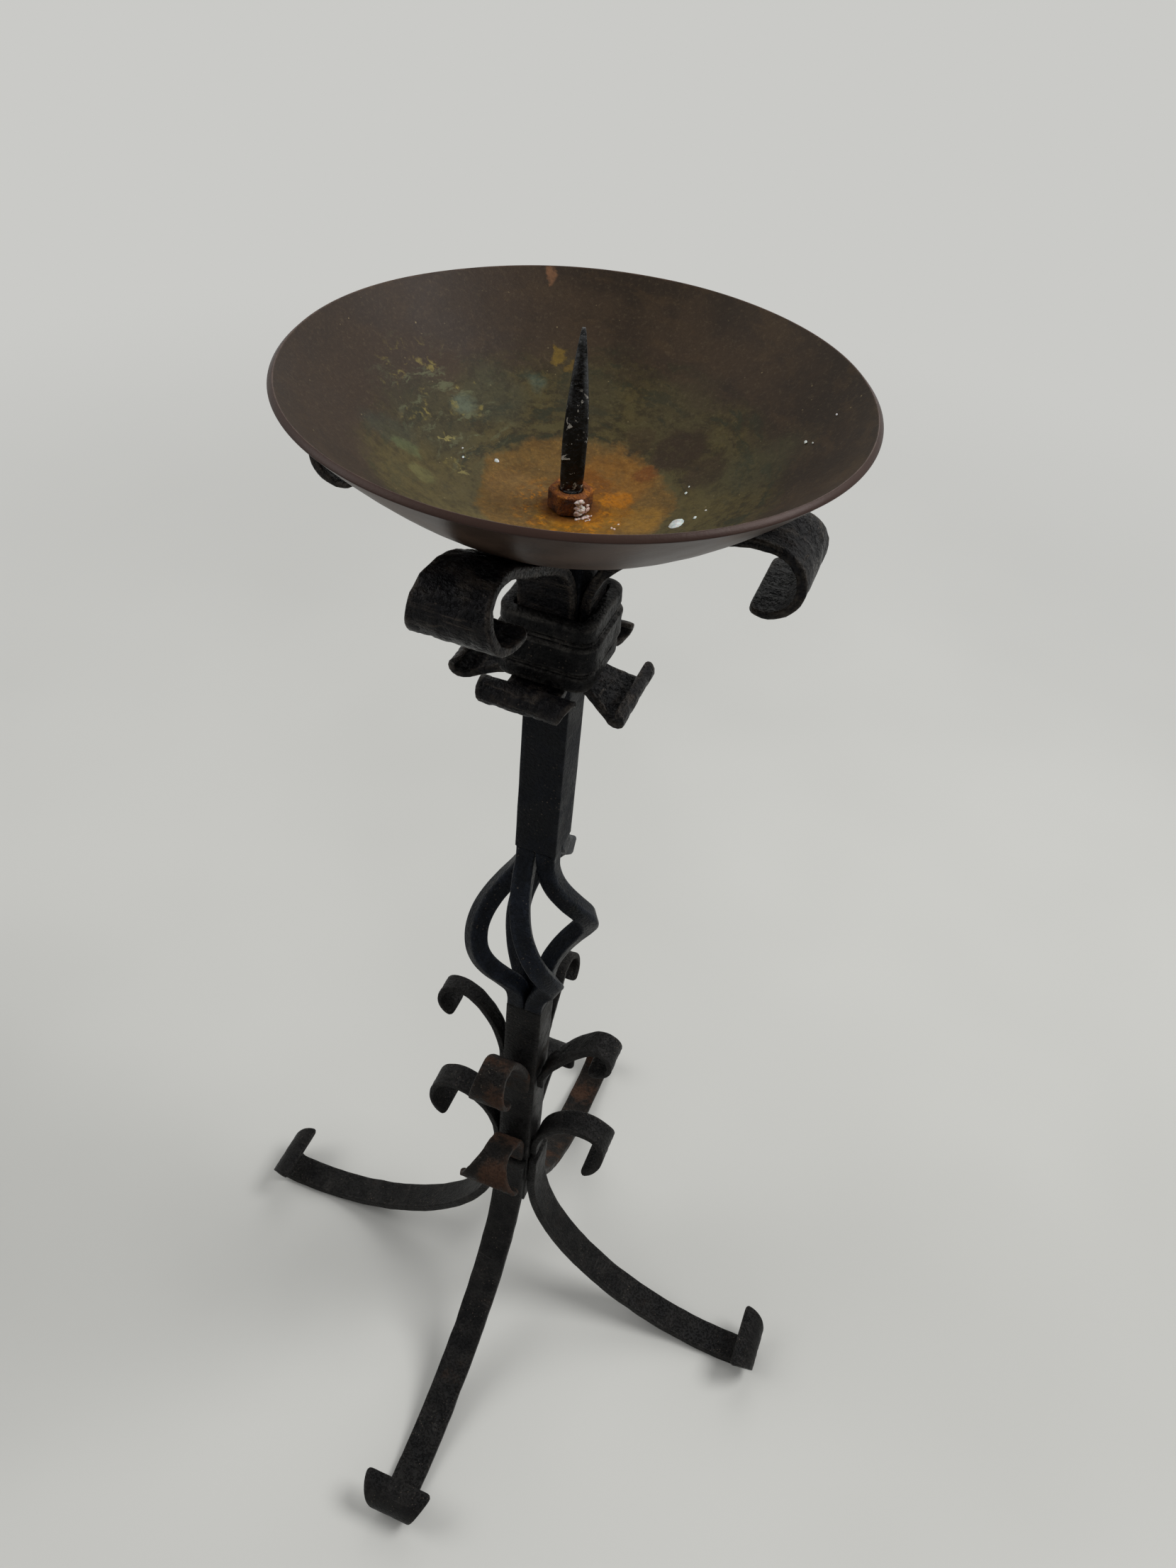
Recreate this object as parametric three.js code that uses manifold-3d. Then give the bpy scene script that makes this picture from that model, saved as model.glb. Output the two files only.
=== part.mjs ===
// Torchere candle stand: a forged iron stand on four legs, with a copper drip pan and a pricket on top.
// Millimetres, +Z up. The origin lies on the floor at the centre of the four feet.
// The front leg points along -Y and the right leg along +X.
import * as THREE from 'three';
import { mergeVertices } from 'three/addons/utils/BufferGeometryUtils.js';
import Module from 'manifold-3d';

const wasm = await Module();
wasm.setup();

// ---------------------------------------------------------------- driving dimensions

const SEAT_GAP = 0.3; // air left between two pieces that touch

// Drip pan
const PAN_SEAT_HEIGHT = 854; // floor to the top of the post
const PAN_RIM_RADIUS = 150; // inside edge of the rim
const PAN_DEPTH = 75; // inside, rim to floor
const PAN_WALL = 4;
const PAN_CURVE_POWER = 1.8; // 1 is a straight cone, 2 a parabola
const PAN_SEAT_MARGIN = 3; // flat of its floor beyond the corners of the post
const PAN_SIDES = 56;
const PAN_RINGS = 10;

// Pricket and nut
const STUD_RADIUS = 6;
const STUD_DEPTH = 34; // how far the stud goes into the post
const STUD_CLEARANCE = 0.3;
const NUT_FLATS = 22;
const NUT_HEIGHT = 11.5;
const NUT_CHAMFER = 1.6;
const NUT_TURN = 25; // degrees from the front towards the right
const SPIKE_HEIGHT = 86;
const SPIKE_WIDTH = 13.4; // at its widest, a third of the way up
const SPIKE_TURN = 19;

// Square post and lower shaft
const POST_WIDTH = 30;
const POST_CHAMFER = 1.5;
const SHAFT_WIDTH = 29;
const SHAFT_FOOT_HEIGHT = 150;

// Basket of four twisted bars between the post and the shaft
const BASKET_TOP = 604;
const BASKET_BOTTOM = 431;
const BASKET_QUARTER_TURNS = 1; // of the bundle, top to bottom: a whole number meets the shaft's faces
const BOW_LEAN_TOP = -5; // the way a bar bows, in degrees past its own side, at the top of the basket
const BOW_LEAN_BOTTOM = 69; // and at its bottom
const BASKET_STEPS = 24;

// Collar round the four scroll straps
const COLLAR_HEIGHT = 45;
const COLLAR_DROP = 96; // pan seat down to the collar's lower edge
const COLLAR_WALL = 7.4;
const COLLAR_CORNER = 3; // inside corner radius
const COLLAR_BEAD = 1.5; // how far the middle band stands out
const COLLAR_GROOVE = 1.6;

// Scroll straps that carry the pan
const STRAP_INSET = 0; // how much narrower a strap is than the post
const STRAP_THICKNESS = 6.5;
const STRAP_TIP_THICKNESS = 4;
const STRAP_BEARING_RADIUS = 80; // where a strap touches the pan
const STRAP_ELBOW = 7; // bend radius where a strap leaves the collar's lower edge
const STRAP_RISE_PULL = 0.6; // shares of its rise and of its reach that set how a strap bends under the pan
const STRAP_REACH_PULL = 0.45;
const FISHTAIL_LENGTH = 46; // stretch over which a strap's end widens

// Leaves of the base
const LEAF_INSET = 6; // how much narrower a leaf is than the shaft
const LEAF_THICKNESS = 6;
const LEAF_TIP_THICKNESS = 3.6;
const LOWER_LEAF_RISE = 6; // heads of the legs up to the feet of the lower leaves
const UPPER_LEAF_RISE = 104; // and from there up to the feet of the upper leaves
const LEAF_REACH = 59; // axis to the crest of a leaf
const LEAF_FLAT = 0.14; // share of its rise that a leaf lies flat on the shaft
const LOWER_LEAF_PULL = 0.5; // share of its rise and reach that sets how a leaf bows: less is straighter

// Legs
const LEG_INSET = 1; // how much narrower a leg is than the shaft
const LEG_THICKNESS = 8;
const LEG_TIP_THICKNESS = 5;
const LEG_TOP = 220;
const LEG_BEND = 184; // where a leg leaves the shaft
const FOOT_RADIUS = 239; // centre of a foot's curl
const FOOT_CURL = 20.5; // outside radius of a foot's curl
const FOOT_FLAT = 8; // level stretch that stands on the floor
const FOOT_TURN = 190; // degrees
const FOOT_FLARE = 52; // stretch over which a foot widens
const LEG_DROP_PULL = 0.47; // shares of its drop and of its reach that set how a leg sweeps
const LEG_REACH_PULL = 0.55;

const CHAMFER = 1.2; // on the long edges of every strap
const CURL_CLOSING = 0.9; // radius at the end of a scroll, roll or leaf, as a share of where it starts
const CURL_STEP = 17; // degrees turned by each step of a curl
const RUN_STEP = 9.5; // length of a step along a smooth stretch
const ROUND_SIDES = 28; // of the stud and its bores
const CORNER_STEPS = 5; // of a rounded corner

// The four sides, with what the smith made differently on each.
// - over: how much wider a strap is than the others on the post, all of it towards the previous side.
// - basket: how far a bar bows out, at which share of the way down, and the power that sharpens its elbow.
// - scroll: climbs along the pan, bends level over the radius `lead`, reaches on, curls under the rim and may
//   end in a straight tail.
// - roll: leaves the collar's lower edge at `rise` degrees over level, runs `shelf` and curls.
// - upper, lower: how high a leaf stands over its foot, how an upper leaf bows, the width of a stem that is
//   narrower than the others, and the curl beyond its crest.
// - foot: the width of a foot.
const SIDES = [
  {
    name: 'front', turn: -90, over: 5,
    basket: { bow: 38, elbow: 0.5, power: 2 },
    scroll: { climb: 22, lead: 55, reach: 0, radius: 18.3, turn: 208, tail: 9, width: 46 },
    roll: { rise: 6, shelf: 22, radius: 8.5, turn: 230, width: 60 },
    upper: { height: 90, pull: 0.2, radius: 20, turn: 190, width: 34 },
    lower: { height: 61, radius: 17, turn: 170, width: 54 },
    foot: 61,
  },
  {
    name: 'right', turn: 0, over: 0,
    basket: { bow: 28, elbow: 0.45, power: 3.8 },
    scroll: { climb: 0, lead: 68, reach: 0, radius: 22, turn: 218, width: 31 },
    roll: { rise: -25, shelf: 23, radius: 8, turn: 200, width: 60 },
    upper: { height: 75, pull: 0.2, radius: 15, turn: 225, width: 32 },
    lower: { height: 61, radius: 23, turn: 168, width: 48 },
    foot: 61,
  },
  {
    name: 'back', turn: 90, over: 0,
    basket: { bow: 45, elbow: 0.38, power: 1.6 },
    scroll: { climb: 0, lead: 75, reach: 0, radius: 21, turn: 250, width: 38 },
    roll: { rise: -16, shelf: 28, radius: 9, turn: 200, width: 60 },
    upper: { height: 83, pull: 0.2, radius: 16, turn: 200, width: 34 },
    lower: { height: 60, radius: 22, turn: 150, width: 44 },
    foot: 34,
  },
  {
    name: 'left', turn: 180, over: 0,
    basket: { bow: 35, elbow: 0.57, power: 2.5 },
    scroll: { climb: 0, lead: 60, reach: 18, radius: 21, turn: 215, width: 34 },
    roll: { rise: -18, shelf: 27, radius: 9, turn: 190, width: 55 },
    upper: { height: 86, pull: 0.45, stem: 14, radius: 17, turn: 180, width: 26 },
    lower: { height: 61, radius: 24, turn: 168, width: 34 },
    foot: 61,
  },
];

// ---------------------------------------------------------------- materials

function finish(color, roughness, metalness) {
  return new THREE.MeshStandardMaterial({ color, roughness, metalness });
}

const BLACK_IRON = finish(0x1e2024, 0.55, 0.75);
const WORN_IRON = finish(0x2c2b2c, 0.6, 0.7);
const RUSTY_IRON = finish(0x3a2a22, 0.75, 0.5);
const OLD_COPPER = finish(0x5a4236, 0.42, 0.85);
const RUST = finish(0x8a4a1c, 0.9, 0.2);

// ---------------------------------------------------------------- solids

const radians = THREE.MathUtils.degToRad;

/** A closed geometry as a solid that can be cut and joined. */
function solid(geometry) {
  const bare = geometry.index ? geometry.toNonIndexed() : geometry.clone();
  bare.deleteAttribute('normal');
  bare.deleteAttribute('uv');
  const merged = mergeVertices(bare, 1e-4);
  const vertProperties = new Float32Array(merged.attributes.position.array);
  const triVerts = new Uint32Array(merged.index.array);
  return new wasm.Manifold(new wasm.Mesh({ numProp: 3, vertProperties, triVerts }));
}

/** A cut or joined solid as a geometry again. */
function geometryOf(body) {
  const mesh = body.getMesh();
  const geometry = new THREE.BufferGeometry();
  geometry.setAttribute('position', new THREE.BufferAttribute(new Float32Array(mesh.vertProperties), 3));
  geometry.setIndex(new THREE.BufferAttribute(new Uint32Array(mesh.triVerts), 1));
  geometry.computeVertexNormals();
  return geometry;
}

/** Volume under the triangles: negative when the faces point inwards. */
function signedVolume(points, triangles) {
  let volume = 0;
  const side = new THREE.Vector3();
  for (let i = 0; i < triangles.length; i += 3) {
    const [a, b, c] = [0, 1, 2].map((k) => points[triangles[i + k]]);
    volume += side.crossVectors(b, c).dot(a) / 6;
  }
  return volume;
}

/** Skins a row of rings that have the same number of points. Closed loops join the last ring to the first. */
function loft(rings, loop = false) {
  const count = rings[0].length;
  const points = rings.flat();
  const triangles = [];
  const last = loop ? rings.length : rings.length - 1;
  for (let i = 0; i < last; i += 1) {
    const low = i * count;
    const high = ((i + 1) % rings.length) * count;
    for (let k = 0; k < count; k += 1) {
      const next = (k + 1) % count;
      triangles.push(low + k, low + next, high + next, low + k, high + next, high + k);
    }
  }
  if (!loop) {
    const top = (rings.length - 1) * count;
    for (let k = 1; k < count - 1; k += 1) {
      triangles.push(0, k + 1, k, top, top + k, top + k + 1);
    }
  }
  if (signedVolume(points, triangles) < 0) triangles.reverse();
  const geometry = new THREE.BufferGeometry().setFromPoints(points);
  geometry.setIndex(triangles);
  geometry.computeVertexNormals();
  return geometry;
}

/** Outline of a bar: a rectangle with its corners cut, as [across, through] pairs. */
function barOutline(width, thickness, chamfer) {
  const [w, t, c] = [width / 2, thickness / 2, Math.min(chamfer, thickness * 0.3, width * 0.3)];
  return [[w, t - c], [w - c, t], [c - w, t], [-w, t - c], [-w, c - t], [c - w, -t], [w - c, -t], [w, c - t]];
}

/** A straight square bar standing on the axis. */
function squareBar(width, low, high, chamfer) {
  const ring = (z, shrink) => barOutline(width - shrink, width - shrink, chamfer)
    .map(([x, y]) => new THREE.Vector3(x, y, z));
  return loft([ring(low, 0), ring(high, 0)]);
}

/** A round bar standing on the axis. */
function roundBar(radius, low, high) {
  return new THREE.CylinderGeometry(radius, radius, high - low, ROUND_SIDES)
    .rotateX(Math.PI / 2)
    .translate(0, 0, (low + high) / 2);
}

// ---------------------------------------------------------------- runs
// A run is the centreline of a bent bar in the upright plane of its side: Vector2 points of the distance from
// the axis and the height.

/** A point of a run, moved along a heading in degrees: 0 is outwards and 90 is up. */
const moved = (point, heading, distance) => new THREE.Vector2(distance, 0)
  .rotateAround(new THREE.Vector2(), radians(heading))
  .add(point);

/** An even row of points on a bend that leaves one point and reaches another in the headings given. */
function bend(from, fromHeading, fromPull, to, toHeading, toPull) {
  const [start, end] = [new THREE.Vector2(...from), new THREE.Vector2(...to)];
  const line = new THREE.CubicBezierCurve(
    start,
    moved(start, fromHeading, fromPull),
    moved(end, toHeading, -toPull),
    end,
  );
  return line.getSpacedPoints(Math.ceil(line.getLength() / RUN_STEP));
}

/** Carries a run on into a spiral curl. A positive turn bends upwards from a run that heads outwards. */
function curled(run, turn, startRadius, endRadius) {
  const steps = Math.ceil(Math.abs(turn) / CURL_STEP);
  const stepTurn = radians(turn) / steps;
  const at = run.at(-1).clone();
  let heading = at.clone().sub(run.at(-2)).angle();
  const points = [];
  for (let i = 0; i < steps; i += 1) {
    const radius = THREE.MathUtils.lerp(startRadius, endRadius, (i + 0.5) / steps);
    const chord = 2 * radius * Math.sin(Math.abs(stepTurn) / 2);
    heading += i === 0 ? stepTurn / 2 : stepTurn;
    at.add(new THREE.Vector2(chord * Math.cos(heading), chord * Math.sin(heading)));
    points.push(at.clone());
  }
  return [...run, ...points];
}

/** Carries a run straight on. */
function straight(run, length) {
  if (length === 0) return run;
  const [before, end] = run.slice(-2);
  return [...run, end.clone().add(end.clone().sub(before).setLength(length))];
}

/** A value that is even along a bar and eases into other values over the stretches at its two ends. */
function eased(middle, start, startLength, end, endLength) {
  return (along, length) => {
    const first = 1 - THREE.MathUtils.smoothstep(along, 0, startLength);
    const final = 1 - THREE.MathUtils.smoothstep(length - along, 0, endLength);
    return middle + (start - middle) * first + (end - middle) * final;
  };
}

/** A flat bar bent along a run, with its width level across the run's plane, or moved over to one side. */
function strap(run, widthAt, thicknessAt, shiftAt = () => 0) {
  const distances = [0];
  for (let i = 1; i < run.length; i += 1) distances.push(distances[i - 1] + run[i].distanceTo(run[i - 1]));
  const length = distances.at(-1);
  const rings = run.map((point, i) => {
    const before = run[Math.max(i - 1, 0)];
    const after = run[Math.min(i + 1, run.length - 1)];
    const heading = after.clone().sub(before).normalize();
    const outline = barOutline(widthAt(distances[i], length), thicknessAt(distances[i], length), CHAMFER);
    const shift = shiftAt(distances[i], length);
    return outline.map(([across, through]) => new THREE.Vector3(
      point.x - heading.y * through,
      across + shift,
      point.y + heading.x * through,
    ));
  });
  return loft(rings);
}

// ---------------------------------------------------------------- drip pan

const panSeatRadius = POST_WIDTH * Math.SQRT1_2 + PAN_SEAT_MARGIN; // flat floor that rests on the post
const panUnderside = PAN_SEAT_HEIGHT + SEAT_GAP;
const panFloor = panUnderside + PAN_WALL;
const panHole = STUD_RADIUS + STUD_CLEARANCE;

/** Rise of the pan's wall over its floor at a distance from the axis. */
function panRise(radius) {
  const share = Math.max(0, (radius - panSeatRadius) / (PAN_RIM_RADIUS - panSeatRadius));
  return PAN_DEPTH * share ** PAN_CURVE_POWER;
}

/** Slope angle of the pan's wall at a distance from the axis. */
function panSlope(radius) {
  const reach = PAN_RIM_RADIUS - panSeatRadius;
  const share = Math.max(0, (radius - panSeatRadius) / reach);
  return Math.atan((PAN_DEPTH / reach) * PAN_CURVE_POWER * share ** (PAN_CURVE_POWER - 1));
}

function dripPan() {
  const inside = [new THREE.Vector2(panHole, panFloor)];
  const outside = [new THREE.Vector2(panHole, panUnderside)];
  for (let i = 0; i <= PAN_RINGS; i += 1) {
    const radius = THREE.MathUtils.lerp(panSeatRadius, PAN_RIM_RADIUS, i / PAN_RINGS);
    const height = panFloor + panRise(radius);
    const slope = panSlope(radius);
    inside.push(new THREE.Vector2(radius, height));
    outside.push(new THREE.Vector2(radius + PAN_WALL * Math.sin(slope), height - PAN_WALL * Math.cos(slope)));
  }
  const profile = [...outside, ...inside.reverse(), outside[0].clone()];
  return new THREE.LatheGeometry(profile, PAN_SIDES).rotateX(Math.PI / 2);
}

// ---------------------------------------------------------------- nut and pricket

const nutFoot = panFloor + SEAT_GAP;
const nutTop = nutFoot + NUT_HEIGHT;

function panNut() {
  const corner = NUT_FLATS / Math.sqrt(3);
  const inner = corner - NUT_CHAMFER;
  const profile = [[0, nutFoot], [inner, nutFoot], [corner, nutFoot + NUT_CHAMFER / 2],
    [corner, nutTop - NUT_CHAMFER / 2], [inner, nutTop], [0, nutTop]];
  const blank = new THREE.LatheGeometry(profile.map(([r, z]) => new THREE.Vector2(r, z)), 6);
  blank.rotateX(Math.PI / 2).rotateZ(radians(NUT_TURN));
  const bore = roundBar(STUD_RADIUS + STUD_CLEARANCE, nutFoot - 1, nutTop + 1);
  return geometryOf(solid(blank).subtract(solid(bore)));
}

function pricket() {
  const foot = nutTop + SEAT_GAP;
  // Height share and width share from the rounded foot to the blunt tip.
  const stations = [
    [0, 0.68], [0.03, 0.86], [0.09, 0.94], [0.33, 1], [0.55, 0.84], [0.8, 0.5], [0.97, 0.24], [1, 0.14],
  ];
  const rings = stations.map(([rise, share]) => {
    const width = SPIKE_WIDTH * share;
    return barOutline(width, width, width * 0.16)
      .map(([x, y]) => new THREE.Vector3(x, y, foot + SPIKE_HEIGHT * rise));
  });
  const blade = loft(rings).rotateZ(radians(SPIKE_TURN));
  const stud = roundBar(STUD_RADIUS, PAN_SEAT_HEIGHT - STUD_DEPTH + 1, foot + 2);
  return geometryOf(solid(blade).add(solid(stud)));
}

// ---------------------------------------------------------------- post, basket and shaft

function post() {
  const bar = squareBar(POST_WIDTH, BASKET_TOP + SEAT_GAP / 2, PAN_SEAT_HEIGHT, POST_CHAMFER);
  const bore = roundBar(STUD_RADIUS + STUD_CLEARANCE, PAN_SEAT_HEIGHT - STUD_DEPTH, PAN_SEAT_HEIGHT + 1);
  return geometryOf(solid(bar).subtract(solid(bore)));
}

function lowerShaft() {
  return squareBar(SHAFT_WIDTH, SHAFT_FOOT_HEIGHT, BASKET_BOTTOM - SEAT_GAP / 2, POST_CHAMFER);
}

const UP = new THREE.Vector3(0, 0, 1);
const quarterWidth = Math.min(POST_WIDTH, SHAFT_WIDTH) / 2 - SEAT_GAP; // side of a bar, less its gaps

/** Share of the twist that is done at a share of the way down, and the twist itself in degrees. */
const basketTurned = (down) => THREE.MathUtils.smoothstep(down, 0, 1);
const basketTwist = (down) => 90 * BASKET_QUARTER_TURNS * basketTurned(down);

/** Centre of a bar at a share of the way down: its place in the twisted bundle, moved out by its bow. */
function basketCentre({ bow, elbow, power }, down) {
  const twist = basketTwist(down);
  const phase = down < elbow ? (down / elbow) / 2 : 1 - ((1 - down) / (1 - elbow)) / 2;
  const swell = bow * Math.sin(Math.PI * phase) ** power;
  const lean = radians(THREE.MathUtils.lerp(BOW_LEAN_TOP, BOW_LEAN_BOTTOM, basketTurned(down)));
  const bundle = (quarterWidth + SEAT_GAP) * Math.SQRT1_2;
  const quadrant = radians(twist - 45);
  return new THREE.Vector3(
    bundle * Math.cos(quadrant) + swell * Math.cos(lean),
    bundle * Math.sin(quadrant) + swell * Math.sin(lean),
    THREE.MathUtils.lerp(BASKET_TOP - SEAT_GAP / 2, BASKET_BOTTOM + SEAT_GAP / 2, down),
  );
}

/** One bar of the basket: a quarter of the post that swells out, turns with the twist and comes back in. */
function basketBar(form) {
  const shares = Array.from({ length: BASKET_STEPS + 1 }, (_, i) => i / BASKET_STEPS);
  const centres = shares.map((down) => basketCentre(form, down));
  const rings = centres.map((centre, i) => {
    const rising = UP.clone();
    if (i > 0 && i < BASKET_STEPS) rising.subVectors(centres[i - 1], centres[i + 1]).normalize();
    const tilt = new THREE.Quaternion().setFromUnitVectors(UP, rising);
    return barOutline(quarterWidth, quarterWidth, CHAMFER).map(([x, y]) => new THREE.Vector3(x, y, 0)
      .applyAxisAngle(UP, radians(basketTwist(shares[i])))
      .applyQuaternion(tilt)
      .add(centre));
  });
  return loft(rings);
}

// ---------------------------------------------------------------- collar and scroll straps

const strapRadius = POST_WIDTH / 2 + SEAT_GAP + STRAP_THICKNESS / 2; // centre of a strap on the post
const collarFoot = PAN_SEAT_HEIGHT - COLLAR_DROP;
const collarHead = collarFoot + COLLAR_HEIGHT;
const collarInside = strapRadius + STRAP_THICKNESS / 2 + SEAT_GAP;

/** A rounded square about the axis, given by its half width and corner radius. */
function roundedSquare(half, corner, z) {
  const points = [];
  for (let quarter = 0; quarter < 4; quarter += 1) {
    for (let i = 0; i <= CORNER_STEPS; i += 1) {
      const offset = new THREE.Vector2(corner, 0)
        .rotateAround(new THREE.Vector2(), (i / CORNER_STEPS) * (Math.PI / 2))
        .addScalar(half - corner)
        .rotateAround(new THREE.Vector2(), quarter * (Math.PI / 2));
      points.push(new THREE.Vector3(offset.x, offset.y, z));
    }
  }
  return points;
}

/** The wrapped band: a hammered band above and below a wider one, parted by double grooves. */
function strapCollar() {
  const wall = COLLAR_WALL;
  const cut = wall - COLLAR_GROOVE;
  const bead = wall + COLLAR_BEAD;
  // Height share and wall thickness of the outside, from the lower edge up to the middle.
  const lower = [
    [0, wall - CHAMFER], [0.03, wall], [0.22, wall], [0.245, cut], [0.27, wall], [0.295, cut], [0.32, bead],
  ];
  const upper = lower.map(([share, out]) => [1 - share, out]).reverse();
  const ring = ([share, out]) => roundedSquare(
    collarInside + out,
    COLLAR_CORNER + out,
    collarFoot + COLLAR_HEIGHT * share,
  );
  return loft([[0, 0], ...lower, ...upper, [1, 0]].map(ring), true);
}

/** A strap that stands on the post in the collar, rolls up below it and scrolls under the rim above it. */
function scrollStrap({ over, scroll, roll }) {
  const slope = panSlope(STRAP_BEARING_RADIUS);
  const drop = PAN_WALL + SEAT_GAP + STRAP_THICKNESS / 2;
  const bearing = [
    STRAP_BEARING_RADIUS + drop * Math.sin(slope),
    panFloor + panRise(STRAP_BEARING_RADIUS) - drop * Math.cos(slope),
  ];
  const reach = bearing[0] - strapRadius;
  const rise = bearing[1] - collarHead;
  const rising = THREE.MathUtils.radToDeg(slope);
  const upward = [
    new THREE.Vector2(strapRadius, collarFoot),
    ...bend([strapRadius, collarHead], 90, rise * STRAP_RISE_PULL, bearing, rising, reach * STRAP_REACH_PULL),
  ];
  const levelled = curled(straight(upward, scroll.climb), -rising, scroll.lead, scroll.lead);
  const crest = straight(levelled, scroll.reach);
  const scrollRadius = scroll.radius - STRAP_THICKNESS / 2;
  const scrolled = straight(
    curled(crest, -scroll.turn, scrollRadius, scrollRadius * CURL_CLOSING),
    scroll.tail ?? 0,
  );
  const bent = curled(scrolled.reverse(), 90 + roll.rise, STRAP_ELBOW, STRAP_ELBOW);
  const shelf = straight(bent, roll.shelf);
  const rollRadius = roll.radius - STRAP_TIP_THICKNESS / 2;
  return strap(
    curled(shelf, roll.turn, rollRadius, rollRadius * CURL_CLOSING),
    eased(POST_WIDTH - STRAP_INSET + over, scroll.width, FISHTAIL_LENGTH * 1.6, roll.width, FISHTAIL_LENGTH),
    eased(STRAP_THICKNESS, STRAP_TIP_THICKNESS, FISHTAIL_LENGTH, STRAP_TIP_THICKNESS, FISHTAIL_LENGTH),
    eased(-over / 2, 0, FISHTAIL_LENGTH * 1.6, 0, FISHTAIL_LENGTH / 2),
  );
}

// ---------------------------------------------------------------- base

const leafRadius = SHAFT_WIDTH / 2 + SEAT_GAP + LEAF_THICKNESS / 2;
const leafWidth = SHAFT_WIDTH - LEAF_INSET;
const lowerLeafFoot = LEG_TOP + LOWER_LEAF_RISE;
const upperLeafFoot = lowerLeafFoot + UPPER_LEAF_RISE;
const legRadius = SHAFT_WIDTH / 2 + SEAT_GAP + LEG_THICKNESS / 2;
const legWidth = SHAFT_WIDTH - LEG_INSET;

/** A leaf: flat on the shaft at its foot, swept out to its crest and curled over into a widened end. */
function leaf(foot, { height, pull = LOWER_LEAF_PULL, stem = leafWidth, radius, turn, width }) {
  const reach = LEAF_REACH - leafRadius;
  const rise = height - LEAF_THICKNESS / 2;
  const run = [
    new THREE.Vector2(leafRadius, foot),
    ...bend(
      [leafRadius, foot + rise * LEAF_FLAT], 90, rise * pull,
      [LEAF_REACH, foot + rise], 0, reach * pull,
    ),
  ];
  const curlRadius = radius - LEAF_THICKNESS / 2;
  return strap(
    curled(run, -turn, curlRadius, curlRadius * CURL_CLOSING),
    eased(stem, stem, 1, width, FISHTAIL_LENGTH),
    eased(LEAF_THICKNESS, LEAF_THICKNESS, 1, LEAF_TIP_THICKNESS, FISHTAIL_LENGTH),
  );
}

/** A leg: flat on the shaft at its head, swept out and down, and curled up at the floor into its foot. */
function leg(width) {
  const half = LEG_THICKNESS / 2;
  const heel = FOOT_RADIUS - FOOT_FLAT;
  const drop = (LEG_BEND - half) * LEG_DROP_PULL;
  const reach = (heel - legRadius) * LEG_REACH_PULL;
  const run = [
    new THREE.Vector2(legRadius, LEG_TOP),
    ...bend([legRadius, LEG_BEND], -90, drop, [heel, half], 0, reach),
    new THREE.Vector2(FOOT_RADIUS, half),
  ];
  return strap(
    curled(run, FOOT_TURN, FOOT_CURL - half, FOOT_CURL - half),
    eased(legWidth, legWidth, 1, width, FOOT_FLARE),
    eased(LEG_THICKNESS, LEG_THICKNESS, 1, LEG_TIP_THICKNESS, FISHTAIL_LENGTH),
  );
}

// ---------------------------------------------------------------- assembly

const stand = new THREE.Group();

function place(name, geometry, material, turn = 0) {
  const mesh = new THREE.Mesh(geometry, material);
  mesh.name = name;
  mesh.rotation.z = radians(turn);
  stand.add(mesh);
}

place('drip_pan', dripPan(), OLD_COPPER);
place('pan_nut', panNut(), RUST);
place('pricket', pricket(), BLACK_IRON);
place('post', post(), BLACK_IRON);
place('strap_collar', strapCollar(), BLACK_IRON);
place('lower_shaft', lowerShaft(), BLACK_IRON);

for (const side of SIDES) {
  place(`scroll_strap_${side.name}`, scrollStrap(side), BLACK_IRON, side.turn);
  place(`basket_bar_${side.name}`, basketBar(side.basket), BLACK_IRON, side.turn);
  place(`upper_leaf_${side.name}`, leaf(upperLeafFoot, side.upper), WORN_IRON, side.turn);
  place(`lower_leaf_${side.name}`, leaf(lowerLeafFoot, side.lower), RUSTY_IRON, side.turn);
  place(`leg_${side.name}`, leg(side.foot), WORN_IRON, side.turn);
}

export default stand;
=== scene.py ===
"""Looks of the torchere candle stand: black forged iron on four legs, an old copper drip pan and a pricket.

The smith's sizes below are millimetres and degrees. Everything is built in metres, in the frame of the CAD
part: +Z up, the front leg along -Y and the right leg along +X.
"""

import math
import random

import bpy
from mathutils import Matrix, Vector, noise


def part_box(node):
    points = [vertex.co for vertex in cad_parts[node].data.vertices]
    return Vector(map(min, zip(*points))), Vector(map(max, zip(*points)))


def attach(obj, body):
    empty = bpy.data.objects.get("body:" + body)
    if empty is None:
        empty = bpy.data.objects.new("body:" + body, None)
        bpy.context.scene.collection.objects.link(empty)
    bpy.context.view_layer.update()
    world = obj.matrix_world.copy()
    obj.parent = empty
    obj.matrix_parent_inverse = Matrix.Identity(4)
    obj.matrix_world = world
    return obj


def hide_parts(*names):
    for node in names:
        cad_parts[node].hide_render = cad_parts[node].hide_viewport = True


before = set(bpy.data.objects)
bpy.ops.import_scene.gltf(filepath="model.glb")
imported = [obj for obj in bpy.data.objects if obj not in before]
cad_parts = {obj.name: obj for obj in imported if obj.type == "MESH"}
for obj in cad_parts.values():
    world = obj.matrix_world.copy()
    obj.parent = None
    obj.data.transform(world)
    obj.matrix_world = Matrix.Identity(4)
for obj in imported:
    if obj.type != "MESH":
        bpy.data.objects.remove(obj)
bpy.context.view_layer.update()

MM = 0.001

# ---------------------------------------------------------------- sizes

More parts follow.
